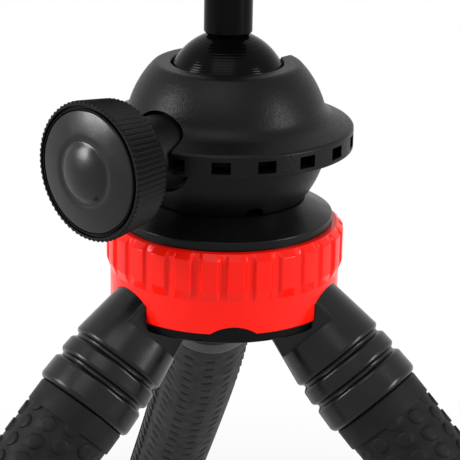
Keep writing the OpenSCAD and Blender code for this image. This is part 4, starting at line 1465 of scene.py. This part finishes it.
class TRIPOD_OT_stage(TripodOperator):
    """Set up the floor, the lamps, the world and the camera"""

    bl_idname = "tripod.stage"
    bl_label = "Stage"
    # Name, azimuth and elevation in degrees, distance, width and height in metres, power in watts
    LAMPS = (
        ("key_left", -83, 20, 0.7, 0.2, 0.42, 5.2),
        ("key_right", 64, 13, 0.75, 0.16, 0.5, 4.8),
        ("fill_front", -20, 58, 0.9, 0.6, 0.6, 2.4),
    )
    LAMP_AIM = Vector((0, 0, -0.05))

    def execute(self, context):
        scene = bpy.context.scene
        scene.view_settings.view_transform = "Standard"
        self.floor(self.sizes.stage)
        self.world(scene, self.sizes.stage)
        for lamp in self.LAMPS:
            self.lamp(scene, *lamp)
        self.camera(scene, self.sizes.stage)
        return {"FINISHED"}

    def combine(self, tree, operation, first, second):
        """One step of arithmetic on two outputs."""
        made = tree.nodes.new("ShaderNodeMath")
        made.operation = operation
        tree.links.new(first, made.inputs[0])
        tree.links.new(second, made.inputs[1])
        return made.outputs["Value"]

    def shown(self, tree):
        """1 for the camera's rays and for those that mirrors and glass send on, 0 for the rest."""
        rays = tree.nodes.new("ShaderNodeLightPath").outputs
        mirrored = self.combine(tree, "MAXIMUM", rays["Is Glossy Ray"], rays["Is Transmission Ray"])
        return self.combine(tree, "MAXIMUM", rays["Is Camera Ray"], mirrored)

    def floor(self, stage):
        """Pale round floor that keeps the shadow and fades into the white background."""
        points = [(*spot, FLOOR_Z) for spot in arc((0, 0), stage.floor_r, 0, 360, 128)[:-1]]
        mesh = bpy.data.meshes.new("floor")
        mesh.from_pydata(points, [], [tuple(range(len(points)))])
        floor = bpy.data.objects.new("floor", mesh)
        bpy.context.scene.collection.objects.link(floor)
        finish = Finish("pale_floor", self.colours.floor, roughness=0.8, specular=0.1)
        finish.tint(finish.noise(6), 0.985, 1.015)
        tree = finish.tree
        reach = finish.add("ShaderNodeVectorMath")
        reach.operation = "LENGTH"
        tree.links.new(finish.space, reach.inputs[0])
        far = finish.add("ShaderNodeMapRange", From_Min=stage.floor_clear, From_Max=2 * stage.floor_clear)
        far.interpolation_type = "SMOOTHSTEP"
        tree.links.new(reach.outputs["Value"], far.inputs["Value"])
        white = finish.add("ShaderNodeEmission", Color=(1, 1, 1, 1), Strength=1)
        mix = finish.add("ShaderNodeMixShader")
        share = self.combine(tree, "MULTIPLY", far.outputs["Result"], self.shown(tree))
        tree.links.new(share, mix.inputs[0])
        tree.links.new(finish.shader.outputs["BSDF"], mix.inputs[1])
        tree.links.new(white.outputs["Emission"], mix.inputs[2])
        tree.links.new(mix.outputs["Shader"], tree.nodes["Material Output"].inputs["Surface"])
        mesh.materials.append(finish.material)

    def world(self, scene, stage):
        """White background for the camera and mirrors, and softer light for the rest."""
        world = bpy.data.worlds.new("studio")
        scene.world = world
        world.use_nodes = True
        tree = world.node_tree
        soft = tree.nodes["Background"]
        soft.inputs["Color"].default_value = (1, 1, 1, 1)
        soft.inputs["Strength"].default_value = stage.world_light
        white = tree.nodes.new("ShaderNodeBackground")
        white.inputs["Color"].default_value = (1, 1, 1, 1)
        white.inputs["Strength"].default_value = 1
        mix = tree.nodes.new("ShaderNodeMixShader")
        tree.links.new(self.shown(tree), mix.inputs[0])
        tree.links.new(soft.outputs["Background"], mix.inputs[1])
        tree.links.new(white.outputs["Background"], mix.inputs[2])
        tree.links.new(mix.outputs["Shader"], tree.nodes["World Output"].inputs["Surface"])

    def lamp(self, scene, name, azimuth, elevation, distance, width, height, power):
        """A soft lamp that faces the head."""
        a, e = math.radians(azimuth), math.radians(elevation)
        out = Vector((math.sin(a) * math.cos(e), -math.cos(a) * math.cos(e), math.sin(e)))
        data = bpy.data.lights.new(name, "AREA")
        data.shape = "RECTANGLE"
        data.size, data.size_y = width, height
        data.energy = power
        lamp = bpy.data.objects.new(name, data)
        lamp.location = self.LAMP_AIM + out * distance
        lamp.rotation_euler = (-out).to_track_quat("-Z", "Y").to_euler()
        scene.collection.objects.link(lamp)

    def camera(self, scene, stage):
        """Camera at the photograph's place and angle."""
        data = bpy.data.cameras.new("camera")
        data.sensor_width = 36
        data.lens = stage.camera_lens
        camera = bpy.data.objects.new("camera", data)
        turn = at_azimuth(stage.camera_azimuth)
        camera.location = RING_PLACE @ turn @ Vector((stage.camera_out, 0, stage.camera_z))
        heading = stage.camera_azimuth - stage.camera_yaw
        tilt = math.pi / 2 - stage.camera_pitch
        aim = Matrix.Rotation(heading, 3, "Z") @ Matrix.Rotation(tilt, 3, "X")
        camera.rotation_euler = (aim @ Matrix.Rotation(stage.camera_roll, 3, "Z")).to_euler()
        scene.collection.objects.link(camera)
        scene.camera = camera


class TRIPOD_PT_panel(bpy.types.Panel):
    """Lists the steps that build the tripod"""

    bl_idname = "TRIPOD_PT_panel"
    bl_label = "Flexible leg tripod"
    bl_space_type = "VIEW_3D"
    bl_region_type = "UI"
    bl_category = "Tripod"

    def draw(self, context):
        for step in STEPS:
            self.layout.operator(step.bl_idname)


STEPS = (
    TRIPOD_OT_stage, TRIPOD_OT_camera_seat, TRIPOD_OT_stem_and_ball, TRIPOD_OT_housing, TRIPOD_OT_knob,
    TRIPOD_OT_base_plate, TRIPOD_OT_grip_ring, TRIPOD_OT_hub_cover, TRIPOD_OT_collars,
    TRIPOD_OT_sleeves, TRIPOD_OT_feet, TRIPOD_OT_inner_pieces,
)
GROUPS = (SeatSizes, HeadSizes, KnobSizes, RingSizes, LegSizes, Colours, StageSizes, TripodSettings)
CLASSES = (*GROUPS, *STEPS, TRIPOD_PT_panel)


def register():
    """Registers the classes and the settings."""
    for each in CLASSES:
        bpy.utils.register_class(each)
    bpy.types.Scene.tripod = PointerProperty(type=TripodSettings)


def unregister():
    """Removes the settings and the classes."""
    del bpy.types.Scene.tripod
    for each in reversed(CLASSES):
        bpy.utils.unregister_class(each)


def main():
    """Builds the tripod step by step."""
    register()
    for step in STEPS:
        group, name = step.bl_idname.split(".")
        getattr(getattr(bpy.ops, group), name)()


if __name__ == "__main__":
    main()
